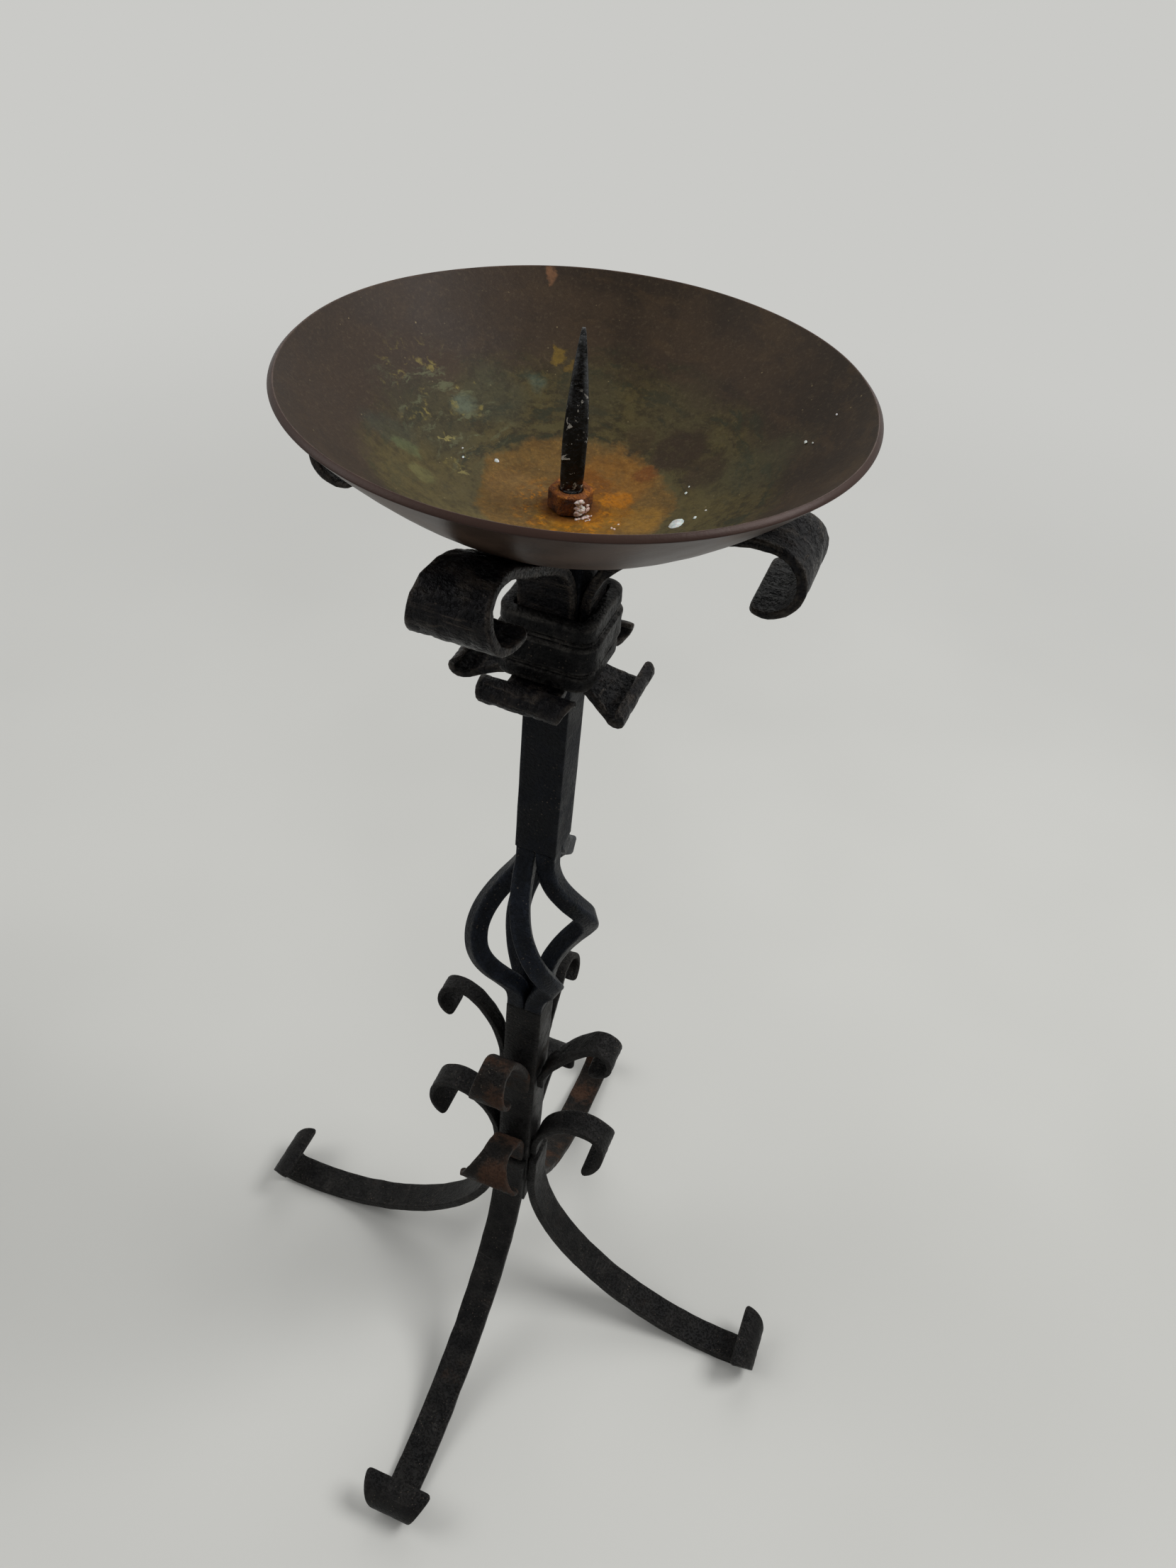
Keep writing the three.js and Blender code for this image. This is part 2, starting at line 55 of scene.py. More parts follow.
GAP = 0.3
PAN_SEAT_HEIGHT = 854
PAN_RIM_RADIUS = 150
PAN_DEPTH = 75
PAN_WALL = 4
PAN_CURVE_POWER = 1.8
PAN_SEAT_MARGIN = 3
BORE_RADIUS = 6.3
STUD_RADIUS = 6
STUD_DEPTH = 34
NUT_FLATS = 22
NUT_HEIGHT = 11.5
NUT_CHAMFER = 1.6
NUT_TURN = 25
SPIKE_HEIGHT = 86
SPIKE_WIDTH = 13.4
SPIKE_TURN = 19
POST_WIDTH = 30
SHAFT_WIDTH = 29
SHAFT_FOOT_HEIGHT = 150
BASKET_TOP = 604
BASKET_BOTTOM = 431
BASKET_QUARTER_TURNS = 1
BOW_LEAN_TOP = -5
BOW_LEAN_BOTTOM = 69
COLLAR_HEIGHT = 45
COLLAR_DROP = 96
COLLAR_WALL = 7.4
COLLAR_CORNER = 3
COLLAR_BEAD = 1.5
COLLAR_GROOVE = 1.6
STRAP_THICKNESS = 6.5
STRAP_TIP_THICKNESS = 4
STRAP_BEARING_RADIUS = 80
STRAP_ELBOW = 7
STRAP_RISE_PULL = 0.6
STRAP_REACH_PULL = 0.45
FISHTAIL_LENGTH = 46
LEAF_INSET = 6
LEAF_THICKNESS = 6
LEAF_TIP_THICKNESS = 3.6
LEAF_REACH = 59
LEAF_FLAT = 0.14
LOWER_LEAF_RISE = 6
UPPER_LEAF_RISE = 104
LOWER_LEAF_PULL = 0.5
LEG_INSET = 1
LEG_THICKNESS = 8
LEG_TIP_THICKNESS = 5
LEG_TOP = 220
LEG_BEND = 184
LEG_DROP_PULL = 0.47
LEG_REACH_PULL = 0.55
FOOT_RADIUS = 239
FOOT_CURL = 20.5
FOOT_FLAT = 8
FOOT_TURN = 190
FOOT_FLARE = 52
CURL_CLOSING = 0.9

# What differs from side to side: the side's turn round the post, how far its strap is wider than the post to
# one side, the width of its foot, and the forms of its basket bar, scroll, lower roll and two leaves.
SIDES = {
    "front": dict(
        turn=-90, over=5, foot=61,
        basket=dict(bow=38, elbow=0.5, power=2),
        scroll=dict(climb=22, lead=55, reach=0, radius=18.3, turn=186, tail=15, width=54),
        roll=dict(rise=6, shelf=22, radius=8.5, turn=230, width=60),
        upper=dict(height=90, pull=0.2, radius=20, turn=190, width=34),
        lower=dict(height=61, radius=17, turn=170, width=54),
    ),
    "right": dict(
        turn=0, over=0, foot=61,
        basket=dict(bow=28, elbow=0.45, power=3.8),
        scroll=dict(climb=0, lead=68, reach=0, radius=21, turn=190, tail=6, width=59, flare=2.6),
        roll=dict(rise=-25, shelf=23, radius=8, turn=200, width=60),
        upper=dict(height=75, pull=0.2, radius=15, turn=225, width=32),
        lower=dict(height=61, radius=23, turn=168, width=48),
    ),
    "back": dict(
        turn=90, over=0, foot=28,
        basket=dict(bow=45, elbow=0.38, power=1.6),
        scroll=dict(climb=0, lead=75, reach=0, radius=21, turn=250, width=38),
        roll=dict(rise=-16, shelf=28, radius=9, turn=200, width=60),
        upper=dict(height=83, pull=0.2, radius=16, turn=200, width=34),
        lower=dict(height=60, radius=22, turn=150, width=44),
    ),
    "left": dict(
        turn=180, over=0, foot=61,
        basket=dict(bow=35, elbow=0.57, power=2.5),
        scroll=dict(climb=0, lead=60, reach=18, radius=21, turn=215, width=34),
        roll=dict(rise=-18, shelf=27, radius=9, turn=190, width=55),
        upper=dict(height=86, pull=0.45, stem=14, radius=17, turn=180, width=26),
        lower=dict(height=61, radius=24, turn=168, width=34),
    ),
}

RUN_STEP = 1.5  # length between the points of a run
CURL_STEP = 4  # degrees between the points of a curl
RING_STEP = 2.8  # length between the rings of a forged piece
FACE_STEP = 2.8  # length between the points across a face
EDGE_ROUND = 1.3  # radius of the worn edges
EDGE_FADE = 1.6  # how far from an edge its wear reaches
TIP_FADE = 2.0  # how far from a tip its wear reaches
BOWL_REACH = 0.62  # size of a hammer mark's bowl, as a share of the distance between the marks
SWAY_SIZE = 26  # length of the slow sway of a hammered face
PAN_TURNS = 200  # points round the pan
PAN_STEP = 2.6  # length between the points of the pan's section
PAN_MARK_SIZE = 13  # distance between the pan's planishing marks
PAN_DENT = 0.22  # their depth
PAN_SWAY = 1.3  # how far the old rim sways up and down
PAN_DRAWN_IN = 0.35  # how far the swaying rim is drawn in
PAN_SUNK = 0.9  # how far it hangs below its true height
RIM_ROUND = 0.4  # radius of the rim's worn edges
HEX_STEPS = 12  # points along a side of the nut
HEX_EASE = 0.06  # how much of a side is eased at a corner of the nut
HEX_WEAR = 0.12  # how much of a side is worn at a corner of the nut
BASKET_RINGS = 78  # rings along a basket bar
BASKET_EDGE_ROUND = 2.2  # radius of the basket bars' edges
COLLAR_SIDE_STEPS = 14  # points along a side of the collar
COLLAR_CORNER_STEPS = 7  # points round a corner of the collar
STRAP_FLARE = 1.6  # length of a scroll's flare, in fishtail lengths
CRUMB_SEED = 11  # start of the random draws for the crumbs of wax
CRUMB_LENGTH = 1.5  # length of a crumb of wax over its width
CRUMB_HEIGHT = 0.34  # height of a crumb over its width


# ---------------------------------------------------------------- node graphs


class Graph:
    """A node tree that grows by one call for each node."""

    def __init__(self, tree):
        self.tree = tree

    def add(self, kind, inputs=None, **settings):
        node = self.tree.nodes.new(kind)
        for name, value in settings.items():
            setattr(node, name, value)
        for name, value in (inputs or {}).items():
            self.feed(node.inputs[name], value)
        return node

    def feed(self, socket, value):
        if isinstance(value, bpy.types.NodeSocket):
            self.tree.links.new(value, socket)
        else:
            socket.default_value = value

    def math(self, operation, a, b=0.5, clamp=False):
        return self.add("ShaderNodeMath", {0: a, 1: b}, operation=operation, use_clamp=clamp).outputs[0]

    def times(self, a, b, clamp=False):
        return self.math("MULTIPLY", a, b, clamp)

    def vector(self, operation, a, b=(0.0, 0.0, 0.0)):
        node = self.add("ShaderNodeVectorMath", {0: a, 1: b}, operation=operation)
        return node.outputs["Value" if operation in ("LENGTH", "DISTANCE") else "Vector"]

    def between(self, value, low, high, out_low=0.0, out_high=1.0):
        """Eases a value from one range into another."""
        inputs = {"Value": value, "From Min": low, "From Max": high, "To Min": out_low, "To Max": out_high}
        return self.add("ShaderNodeMapRange", inputs, interpolation_type="SMOOTHSTEP").outputs["Result"]

    def blend(self, share, under, over):
        """Lays one colour over another."""
        node = self.add("ShaderNodeMix", data_type="RGBA")
        self.feed(node.inputs["Factor"], share)
        self.feed(node.inputs[6], under)
        self.feed(node.inputs[7], over)
        return node.outputs[2]

    def lay(self, tint, share, under, strength=1.0):
        """Lays a colour, given as it looks on screen, over another one."""
        return self.blend(share if strength == 1.0 else self.times(share, strength), under, srgb(*tint))

    def parts(self, vector):
        return self.add("ShaderNodeSeparateXYZ", {0: vector}).outputs

    def clouds(self, place, scale, detail, roughness, distortion=0.0):
        inputs = {
            "Vector": place, "Scale": scale, "Detail": detail,
            "Roughness": roughness, "Distortion": distortion,
        }
        return self.add("ShaderNodeTexNoise", inputs).outputs["Fac"]

    def noise(self, place, size, detail=3.0, roughness=0.55, distortion=0.0):
        """Clouds of a size given in millimetres."""
        return self.clouds(place, 1 / (size * MM), detail, roughness, distortion)

    def warp(self, place, size, reach):
        """Moves a place about by a noise, so that what is drawn there gets a ragged outline."""
        inputs = {"Vector": place, "Scale": 1 / (size * MM), "Detail": 5.0, "Roughness": 0.65}
        wobble = self.add("ShaderNodeTexNoise", inputs).outputs["Color"]
        swing = self.vector("SUBTRACT", wobble, (0.5, 0.5, 0.5))
        return self.vector("ADD", place, self.vector("MULTIPLY", swing, (reach * MM, reach * MM, reach * MM)))

    def effect(self, group, values):
        """Places a node group with its own values."""
        return self.add("ShaderNodeGroup", values, node_tree=group).outputs

    def shown(self):
        """Marks the rays that come from the camera, straight or by way of gloss or glass."""
        ray = self.add("ShaderNodeLightPath").outputs
        direct = self.math("MAXIMUM", ray["Is Camera Ray"], ray["Is Glossy Ray"])
        return self.math("MAXIMUM", direct, ray["Is Transmission Ray"])

    def place(self):
        return self.add("ShaderNodeTexCoord").outputs["Object"]

    def mark(self, name):
        return self.add("ShaderNodeAttribute", attribute_name=name).outputs["Fac"]


def new_group(name, inputs, outputs):
    """An empty node group with named number sockets, and its input and output nodes."""
    tree = bpy.data.node_groups.new(name, "ShaderNodeTree")
    kind = "NodeSocketFloat"
    for socket, value in inputs.items():
        tree.interface.new_socket(socket, in_out="INPUT", socket_type=kind).default_value = value
    for socket in outputs:
        tree.interface.new_socket(socket, in_out="OUTPUT", socket_type=kind)
    graph = Graph(tree)
    return graph, graph.add("NodeGroupInput").outputs, graph.add("NodeGroupOutput").inputs


def fire_scale_group():
    """Mottled forge scale: broad tone, and the height of its fine pits and crust."""
    graph, given, out = new_group("fire_scale", {"Tone Scale": 60.0, "Pit Scale": 700.0}, ["Tone", "Height"])
    place = graph.place()
    tone = graph.clouds(place, given["Tone Scale"], 5.0, 0.65)
    crust = graph.clouds(place, given["Pit Scale"], 4.0, 0.6)
    pits = graph.between(crust, 0.36, 0.5, 1.0, 0.0)
    graph.feed(out["Tone"], graph.between(tone, 0.33, 0.68))
    graph.feed(out["Height"], graph.math("SUBTRACT", crust, graph.times(pits, 0.6)))
    return graph.tree


def rust_bloom_group():
    """Where rust has come through: cloudy patches with a grainy border."""
    graph, given, out = new_group("rust_bloom", {"Patch Scale": 30.0, "Cover": 0.3}, ["Mask"])
    cloud = graph.clouds(graph.place(), given["Patch Scale"], 6.0, 0.7)
    start = graph.math("SUBTRACT", 0.78, graph.times(given["Cover"], 0.5))
    graph.feed(out["Mask"], graph.between(cloud, start, graph.math("ADD", start, 0.14)))
    return graph.tree


def pale_specks_group():
    """Scattered specks of dust and old wax."""
    graph, given, out = new_group("pale_specks", {"Speck Scale": 260.0, "Cover": 0.1}, ["Mask"])
    place = graph.place()
    inputs = {"Vector": place, "Scale": given["Speck Scale"], "Randomness": 1.0}
    cells = graph.add("ShaderNodeTexVoronoi", inputs)
    ragged = graph.clouds(place, 900.0, 2.0, 0.6)
    where = graph.clouds(place, 38.0, 2.0, 0.5)
    size = graph.times(graph.times(ragged, given["Cover"]), 2.4)
    speck = graph.between(cells.outputs["Distance"], size, graph.times(size, 0.5))
    graph.feed(out["Mask"], graph.times(speck, graph.between(where, 0.45, 0.62)))
    return graph.tree


def edge_wear_and_glint_group():
    """Wear along the edges and the tips of a forged piece, broken up as rubbing leaves it. On the collar's
    ridges and the pricket's upper arrises, the pale colour laid on it is also a painted highlight.
    """
    graph, given, out = new_group("edge_wear_and_glint", {"Strength": 1.0}, ["Mask"])
    broken = graph.clouds(graph.place(), 120.0, 4.0, 0.7)
    worn = graph.between(graph.mark("edge"), 0.12, 0.85)
    share = graph.times(worn, graph.between(broken, 0.36, 0.62))
    graph.feed(out["Mask"], graph.times(share, given["Strength"], clamp=True))
    return graph.tree


def dry_brush_group():
    """Level streaks, as a wire brush or a smear of wax leaves them round a piece."""
    graph, given, out = new_group("dry_brush", {"Streak Scale": 200.0, "Cover": 0.5}, ["Mask"])
    place = graph.place()
    drawn_out = graph.vector("MULTIPLY", place, (0.09, 0.09, 1.0))
    streaks = graph.clouds(drawn_out, given["Streak Scale"], 4.0, 0.7, 0.6)
    where = graph.clouds(place, 45.0, 2.0, 0.5)
    start = graph.math("SUBTRACT", 0.75, graph.times(given["Cover"], 0.35))
    streak = graph.between(streaks, start, graph.math("ADD", start, 0.09))
    graph.feed(out["Mask"], graph.times(streak, graph.between(where, 0.4, 0.6)))
    return graph.tree


FIRE_SCALE = fire_scale_group()
DRY_BRUSH = dry_brush_group()
RUST_BLOOM = rust_bloom_group()
PALE_SPECKS = pale_specks_group()
EDGE_WEAR_AND_GLINT = edge_wear_and_glint_group()


def new_material(name):
    """A material with an empty graph, its Principled shader and its output."""
    material = bpy.data.materials.new(name)
    material.use_nodes = True
    graph = Graph(material.node_tree)
    material.node_tree.nodes.clear()
    shader = graph.add("ShaderNodeBsdfPrincipled")
    graph.output = graph.add("ShaderNodeOutputMaterial", {"Surface": shader.outputs["BSDF"]})
    return material, graph, shader


def relief(graph, shader, height, depth):
    """Feeds a height to the shader's normal, as deep as given in millimetres."""
    bump = graph.add("ShaderNodeBump", {"Height": height, "Strength": 1.0, "Distance": depth * MM})
    graph.feed(shader.inputs["Normal"], bump.outputs["Normal"])


def srgb(red, green, blue):
    """A colour given as it looks on screen, 0 to 255, as the linear colour that a shader takes."""

    def linear(value):
        share = value / 255
        return share / 12.92 if share <= 0.04045 else ((share + 0.055) / 1.055) ** 2.4

    return (linear(red), linear(green), linear(blue), 1.0)


def forged_iron(
    name, dark, light, rubbed_and_glint, rust, rust_cover, brushed=0.3, gloss=0.4, wear_and_glint=0.5, pit_scale=460.0,
):
    """Blackened iron: scale in two tones, rubbed ridges (on the collar also a painted highlight), brown rust
    coming through, dust and streaks.
    """
    material, graph, shader = new_material(name)
    scale = graph.effect(FIRE_SCALE, {"Tone Scale": 48.0, "Pit Scale": pit_scale})
    bloom = graph.effect(RUST_BLOOM, {"Patch Scale": 24.0, "Cover": rust_cover})["Mask"]
    specks = graph.effect(PALE_SPECKS, {"Speck Scale": 330.0, "Cover": 0.16})["Mask"]
    edges = graph.effect(EDGE_WEAR_AND_GLINT, {"Strength": wear_and_glint})["Mask"]
    brush = graph.effect(DRY_BRUSH, {"Streak Scale": 420.0, "Cover": brushed})["Mask"]

    colour = graph.blend(scale["Tone"], srgb(*dark), srgb(*light))
    colour = graph.lay(rubbed_and_glint, brush, colour, 0.5)
    hollow = graph.between(graph.mark("dent"), 0.25, 0.9)
    colour = graph.lay(dark, hollow, colour, 0.45)
    rusted = graph.times(bloom, 0.9)
    colour = graph.lay(rust, rusted, colour)
    # Rubbed wear along the edges. With the collar's pale rubbed colour it is also a painted highlight on the
    # ridges.
    colour = graph.lay(rubbed_and_glint, edges, colour)
    colour = graph.lay((98, 88, 78), specks, colour, 0.6)
    graph.feed(shader.inputs["Base Color"], colour)

    rough = graph.between(scale["Tone"], 0.0, 1.0, gloss - 0.07, gloss + 0.1)
    rough = graph.math("ADD", rough, graph.times(rusted, 0.3))
    rough = graph.math("SUBTRACT", rough, graph.times(edges, 0.08), clamp=True)
    graph.feed(shader.inputs["Roughness"], rough)
    shader.inputs["Metallic"].default_value = 0.1
    shader.inputs["Specular IOR Level"].default_value = 0.1
    relief(graph, shader, scale["Height"], 480 / pit_scale)
    return material


BLACK_IRON = forged_iron(
    "black_iron", dark=(4, 6, 10), light=(13, 16, 22), rubbed_and_glint=(44, 46, 50), rust=(30, 25, 21),
    rust_cover=0.12, gloss=0.56, wear_and_glint=0.25,
)
# The collar's iron is laid darker than the rest as painted shade under the pan. Its pale rubbed colour is
# rubbed wear and also a painted highlight along the ridges.
COLLAR_IRON_SHADE_AND_GLINT = forged_iron(
    "collar_iron_shade_and_glint", dark=(1, 1, 2), light=(8, 8, 9), rubbed_and_glint=(76, 73, 69), rust=(22, 18, 16),
    rust_cover=0.22, brushed=0.14, gloss=0.42, wear_and_glint=0.5, pit_scale=400.0,
)
STRAP_IRON = forged_iron(
    "strap_iron", dark=(5, 5, 8), light=(21, 20, 22), rubbed_and_glint=(72, 65, 58), rust=(40, 32, 26),
    rust_cover=0.34, brushed=0.65, gloss=0.31, wear_and_glint=0.5, pit_scale=420.0,
)
BASKET_IRON = forged_iron(
    "basket_iron", dark=(4, 7, 12), light=(14, 18, 26), rubbed_and_glint=(42, 48, 58), rust=(40, 29, 23),
    rust_cover=0.16, gloss=0.4, wear_and_glint=0.25,
)
WORN_IRON = forged_iron(
    "worn_iron", dark=(11, 11, 12), light=(29, 28, 27), rubbed_and_glint=(54, 52, 50), rust=(44, 34, 28),
    rust_cover=0.34, brushed=0.5, gloss=0.45, wear_and_glint=0.35,
)
RUSTY_IRON = forged_iron(
    "rusty_iron", dark=(15, 13, 12), light=(34, 29, 25), rubbed_and_glint=(56, 49, 44), rust=(60, 42, 32),
    rust_cover=0.6, brushed=0.3, gloss=0.48, wear_and_glint=0.3,
)


# ---------------------------------------------------------------- runs
# A run is the centreline of a bent bar in the upright plane of its side: points of the distance from the axis
# and the height.


def moved(point, heading, distance):
    angle = math.radians(heading)
    return point + Vector((math.cos(angle), math.sin(angle))) * distance


def bend(start, start_heading, start_pull, end, end_heading, end_pull):
    """An even row of points on a bend that leaves one point and reaches another in the headings given."""
    start, end = Vector(start), Vector(end)
    near, far = moved(start, start_heading, start_pull), moved(end, end_heading, -end_pull)
    dense, fine = [], 400
    for i in range(fine + 1):
        t = i / fine
        s = 1 - t
        dense.append(start * s**3 + near * (3 * s * s * t) + far * (3 * s * t * t) + end * t**3)
    lengths = [0.0]
    for before, after in zip(dense, dense[1:]):
        lengths.append(lengths[-1] + (after - before).length)
    count = math.ceil(lengths[-1] / RUN_STEP)
    points, k = [], 0
    for i in range(count + 1):
        goal = lengths[-1] * i / count
        while k < fine - 1 and lengths[k + 1] < goal:
            k += 1
        share = (goal - lengths[k]) / (lengths[k + 1] - lengths[k])
        points.append(dense[k].lerp(dense[k + 1], min(max(share, 0), 1)))
    return points


def curled(run, turn, start_radius, end_radius):
    """Carries a run on into a spiral curl. A positive turn bends upwards from a run that heads outwards."""
    steps = math.ceil(abs(turn) / CURL_STEP)
    step = math.radians(turn) / steps
    at = run[-1].copy()
    last = run[-1] - run[-2]
    heading = math.atan2(last.y, last.x)
    points = list(run)
    for i in range(steps):
        radius = start_radius + (end_radius - start_radius) * (i + 0.5) / steps
        chord = 2 * radius * math.sin(abs(step) / 2)
        heading += step / 2 if i == 0 else step
        at = at + Vector((math.cos(heading), math.sin(heading))) * chord
        points.append(at.copy())
    return points


def straight(run, length):
    """Carries a run straight on."""
    if length == 0:
        return run
    direction = (run[-1] - run[-2]).normalized()
    count = math.ceil(length / RUN_STEP)
    return run + [run[-1] + direction * (length * (i + 1) / count) for i in range(count)]


def smoothstep(value, low, high):
    share = min(max((value - low) / (high - low), 0), 1)
    return share * share * (3 - 2 * share)


def eased(middle, start, start_length, end, end_length):
    """A value that is even along a bar and eases into other values over the stretches at its two ends."""

    def at(along, length):
        first = 1 - smoothstep(along, 0, start_length)
        final = 1 - smoothstep(length - along, 0, end_length)
        return middle + (start - middle) * first + (end - middle) * final

    return at


# ---------------------------------------------------------------- skins
# A ring is a list of (point, outward direction, edge, place of its hammer marks), and a skin joins a row of
# rings that have as many points each.


def bar_outline(width, thickness, across_steps, through_steps, edge_round=EDGE_ROUND):
    """A rectangle with rounded corners, as (across, through, outward across, outward through, edge)."""
    corner = min(edge_round, thickness * 0.42, width * 0.42)
    half_width, half_thickness = width / 2 - corner, thickness / 2 - corner
    corners = [(half_width, half_thickness), (-half_width, half_thickness),
               (-half_width, -half_thickness), (half_width, -half_thickness)]
    outline = []
    for quarter, (across, through) in enumerate(corners):
        for part in range(3):
            angle = math.radians(90 * quarter + 45 * part)
            cos, sin = math.cos(angle), math.sin(angle)
            outline.append((across + corner * cos, through + corner * sin, cos, sin, 1.0))
        count = across_steps if quarter % 2 == 0 else through_steps
        length = 2 * (half_width if quarter % 2 == 0 else half_thickness)
        after = corners[(quarter + 1) % 4]
        for i in range(1, count):
            share = i / count
            off = min(share, 1 - share) * length
            outline.append((
                across + (after[0] - across) * share + corner * cos,
                through + (after[1] - through) * share + corner * sin,
                cos, sin, math.exp(-((off / EDGE_FADE) ** 2)),
            ))
    return outline


def bowl_at(place):
    """How deep in the bowl of a hammer mark a place lies, 0 to 1, where the marks are 1 apart."""
    return 1 - min(1, (noise.voronoi(place)[0][0] / BOWL_REACH) ** 2)


def hammered(rings, seed, size, depth, sway):
    """Presses hammer marks into the rings: shallow bowls that meet in ridges, on a slow sway of the whole
    face. It gives the new points, and the marks of the edges and of the bowls."""
    points, edges, dents = [], [], []
    for ring in rings:
        for point, outward, edge, *struck in ring:
            shifted = (struck[0] if struck else point) + Vector((seed * 31.7, seed * 17.3, seed * 5.1))
            bowl = bowl_at(shifted / size)
            wave = 0.5 + 0.5 * noise.noise(shifted / SWAY_SIZE)
            points.append(point - outward * (depth * bowl * (1 - 0.45 * edge) + sway * wave))
            edges.append(max(edge, 0.35 * (1 - bowl)))
            dents.append(bowl)
    return points, {"edge": edges, "dent": dents}


def skin_faces(rings, count, loop=False):
    """Quads between a row of rings, and its two caps unless the row closes on itself."""
    faces = []
    for i in range(rings if loop else rings - 1):
        low, high = i * count, ((i + 1) % rings) * count
        for k in range(count):
            after = (k + 1) % count
            faces.append((low + k, low + after, high + after, high + k))
    if not loop:
        top = (rings - 1) * count
        faces.append(tuple(reversed(range(count))))
        faces.append(tuple(range(top, top + count)))
    return faces


def make_piece(name, points, faces, material, marks=None):
    """A smooth mesh of the points given in millimetres, riding on the stand."""
    mesh = bpy.data.meshes.new(name)
    mesh.from_pydata([Vector(point) * MM for point in points], [], faces)
    for mark, values in (marks or {}).items():
        mesh.attributes.new(mark, "FLOAT", "POINT").data.foreach_set("value", values)
    mesh.materials.append(material)
    mesh.shade_smooth()
    face_outwards(mesh)
    piece = bpy.data.objects.new(name, mesh)
    bpy.context.scene.collection.objects.link(piece)
    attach(piece, "root")
    return piece


def face_outwards(mesh):
    """Flips a closed mesh whose faces point inwards."""
    volume = 0.0
    mesh.calc_loop_triangles()
    for triangle in mesh.loop_triangles:
        a, b, c = (mesh.vertices[i].co for i in triangle.vertices)
        volume += a.dot(b.cross(c))
    if volume < 0:
        mesh.flip_normals()


def stand_for(piece, node):
    """The piece takes the node's place and keeps to its box."""
    low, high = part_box(node)
    for vertex in piece.data.vertices:
        for axis in range(3):
            vertex.co[axis] = min(max(vertex.co[axis], low[axis]), high[axis])
    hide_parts(node)


def forge(name, rings, material, seed, size, depth, sway, loop=False):
    """Skins the rings, hammers them and puts the piece in the place of its node."""
    points, marks = hammered(rings, seed, size, depth, sway)
    faces = skin_faces(len(rings), len(rings[0]), loop)
    stand_for(make_piece("forged_" + name, points, faces, material, marks), name)


def stations(length, fine_ends):
    """Distances along a bar for its rings, each with how far it is drawn in: even, and close at its ends."""
    count = math.ceil(length / RING_STEP)
    arc = ((0.0, 1.0), (0.25, 0.45), (0.75, 0.1))
    rounded = [(share * EDGE_ROUND, drawn * EDGE_ROUND) for share, drawn in arc]
    start = rounded + [(along, 0.0) for along in fine_ends if along > EDGE_ROUND]
    low, high = max(fine_ends), length - max(fine_ends) - 0.4
    middle = [(length * i / count, 0.0) for i in range(1, count) if low < length * i / count < high]
    return start + middle + [(length - along, drawn) for along, drawn in reversed(start)]


def way_along(run, lengths, along, k):
    """Place and heading at a distance along a run, in its stretch k."""
    here = (run[k + 1] - run[k]).normalized()
    share = (along - lengths[k]) / (lengths[k + 1] - lengths[k])
    before = (run[k] - run[k - 1]).normalized() if k > 0 else here
    heading = before.lerp(here, 0.5).normalized()
    if k < len(run) - 2:
        ahead = (run[k + 2] - run[k + 1]).normalized()
        heading = heading.lerp((here + ahead).normalized(), share).normalized()
    return run[k].lerp(run[k + 1], share), heading


def strap_rings(run, width_at, thickness_at, shift_at, turn, seed, tip_round):
    """Rings of a flat bar bent along a run. Its edges sway a little, and its wide ends have rounded corners.
    The hammer marks lie across the bar, closer together towards its drawn-out ends."""
    lengths = [0.0]
    for before, after in zip(run, run[1:]):
        lengths.append(lengths[-1] + (after - before).length)
    length = lengths[-1]
    widest = max(width_at(d, length) for d in (0, length / 2, length))
    across_steps = math.ceil(widest / FACE_STEP)
    side = Matrix.Rotation(math.radians(turn), 3, "Z")
    rings = []
    k = 0
    for along, drawn in stations(length, (1.2, 2.4, 4.0, 6.0)):
        while k < len(run) - 2 and lengths[k + 1] < along:
            k += 1
        at, heading = way_along(run, lengths, along, k)
        to_tip = min(along, length - along)
        width = width_at(along, length) - 2 * drawn
        thickness = thickness_at(along, length) - 1.6 * drawn
        for distance, corner in ((along, tip_round[0]), (length - along, tip_round[1])):
            if distance < corner:
                width -= 2 * corner * (1 - math.sqrt(1 - ((corner - distance) / corner) ** 2))
        width -= 0.5 + 0.5 * noise.noise(Vector((along / 13, seed * 7.1, 0.0)))
        lean = 0.35 * noise.noise(Vector((along / 19, seed * 3.7, 5.0)))
        marks_across = 1 + 1.3 * (1 - smoothstep(to_tip, 20, 60))
        shift = shift_at(along, length) + lean
        tip = math.exp(-((to_tip / TIP_FADE) ** 2))
        ring = []
        for across, through, out_across, out_through, edge in bar_outline(width, thickness, across_steps, 2):
            point = Vector((at.x - heading.y * through, across + shift, at.y + heading.x * through))
            outward = Vector((-heading.y * out_through, out_across, heading.x * out_through))
            struck = Vector((across * marks_across, through * 0.4, along))
            ring.append((side @ point, side @ outward, max(edge, tip), struck))
        rings.append(ring)
    return rings


# ---------------------------------------------------------------- the pan's form

pan_seat_radius = POST_WIDTH * math.sqrt(0.5) + PAN_SEAT_MARGIN
pan_underside = PAN_SEAT_HEIGHT + GAP
pan_floor = pan_underside + PAN_WALL


def pan_rise(radius):
    share = max(0.0, (radius - pan_seat_radius) / (PAN_RIM_RADIUS - pan_seat_radius))
    return PAN_DEPTH * share**PAN_CURVE_POWER


def pan_slope(radius):
    reach = PAN_RIM_RADIUS - pan_seat_radius
    share = max(0.0, (radius - pan_seat_radius) / reach)
    return math.atan((PAN_DEPTH / reach) * PAN_CURVE_POWER * share ** (PAN_CURVE_POWER - 1))



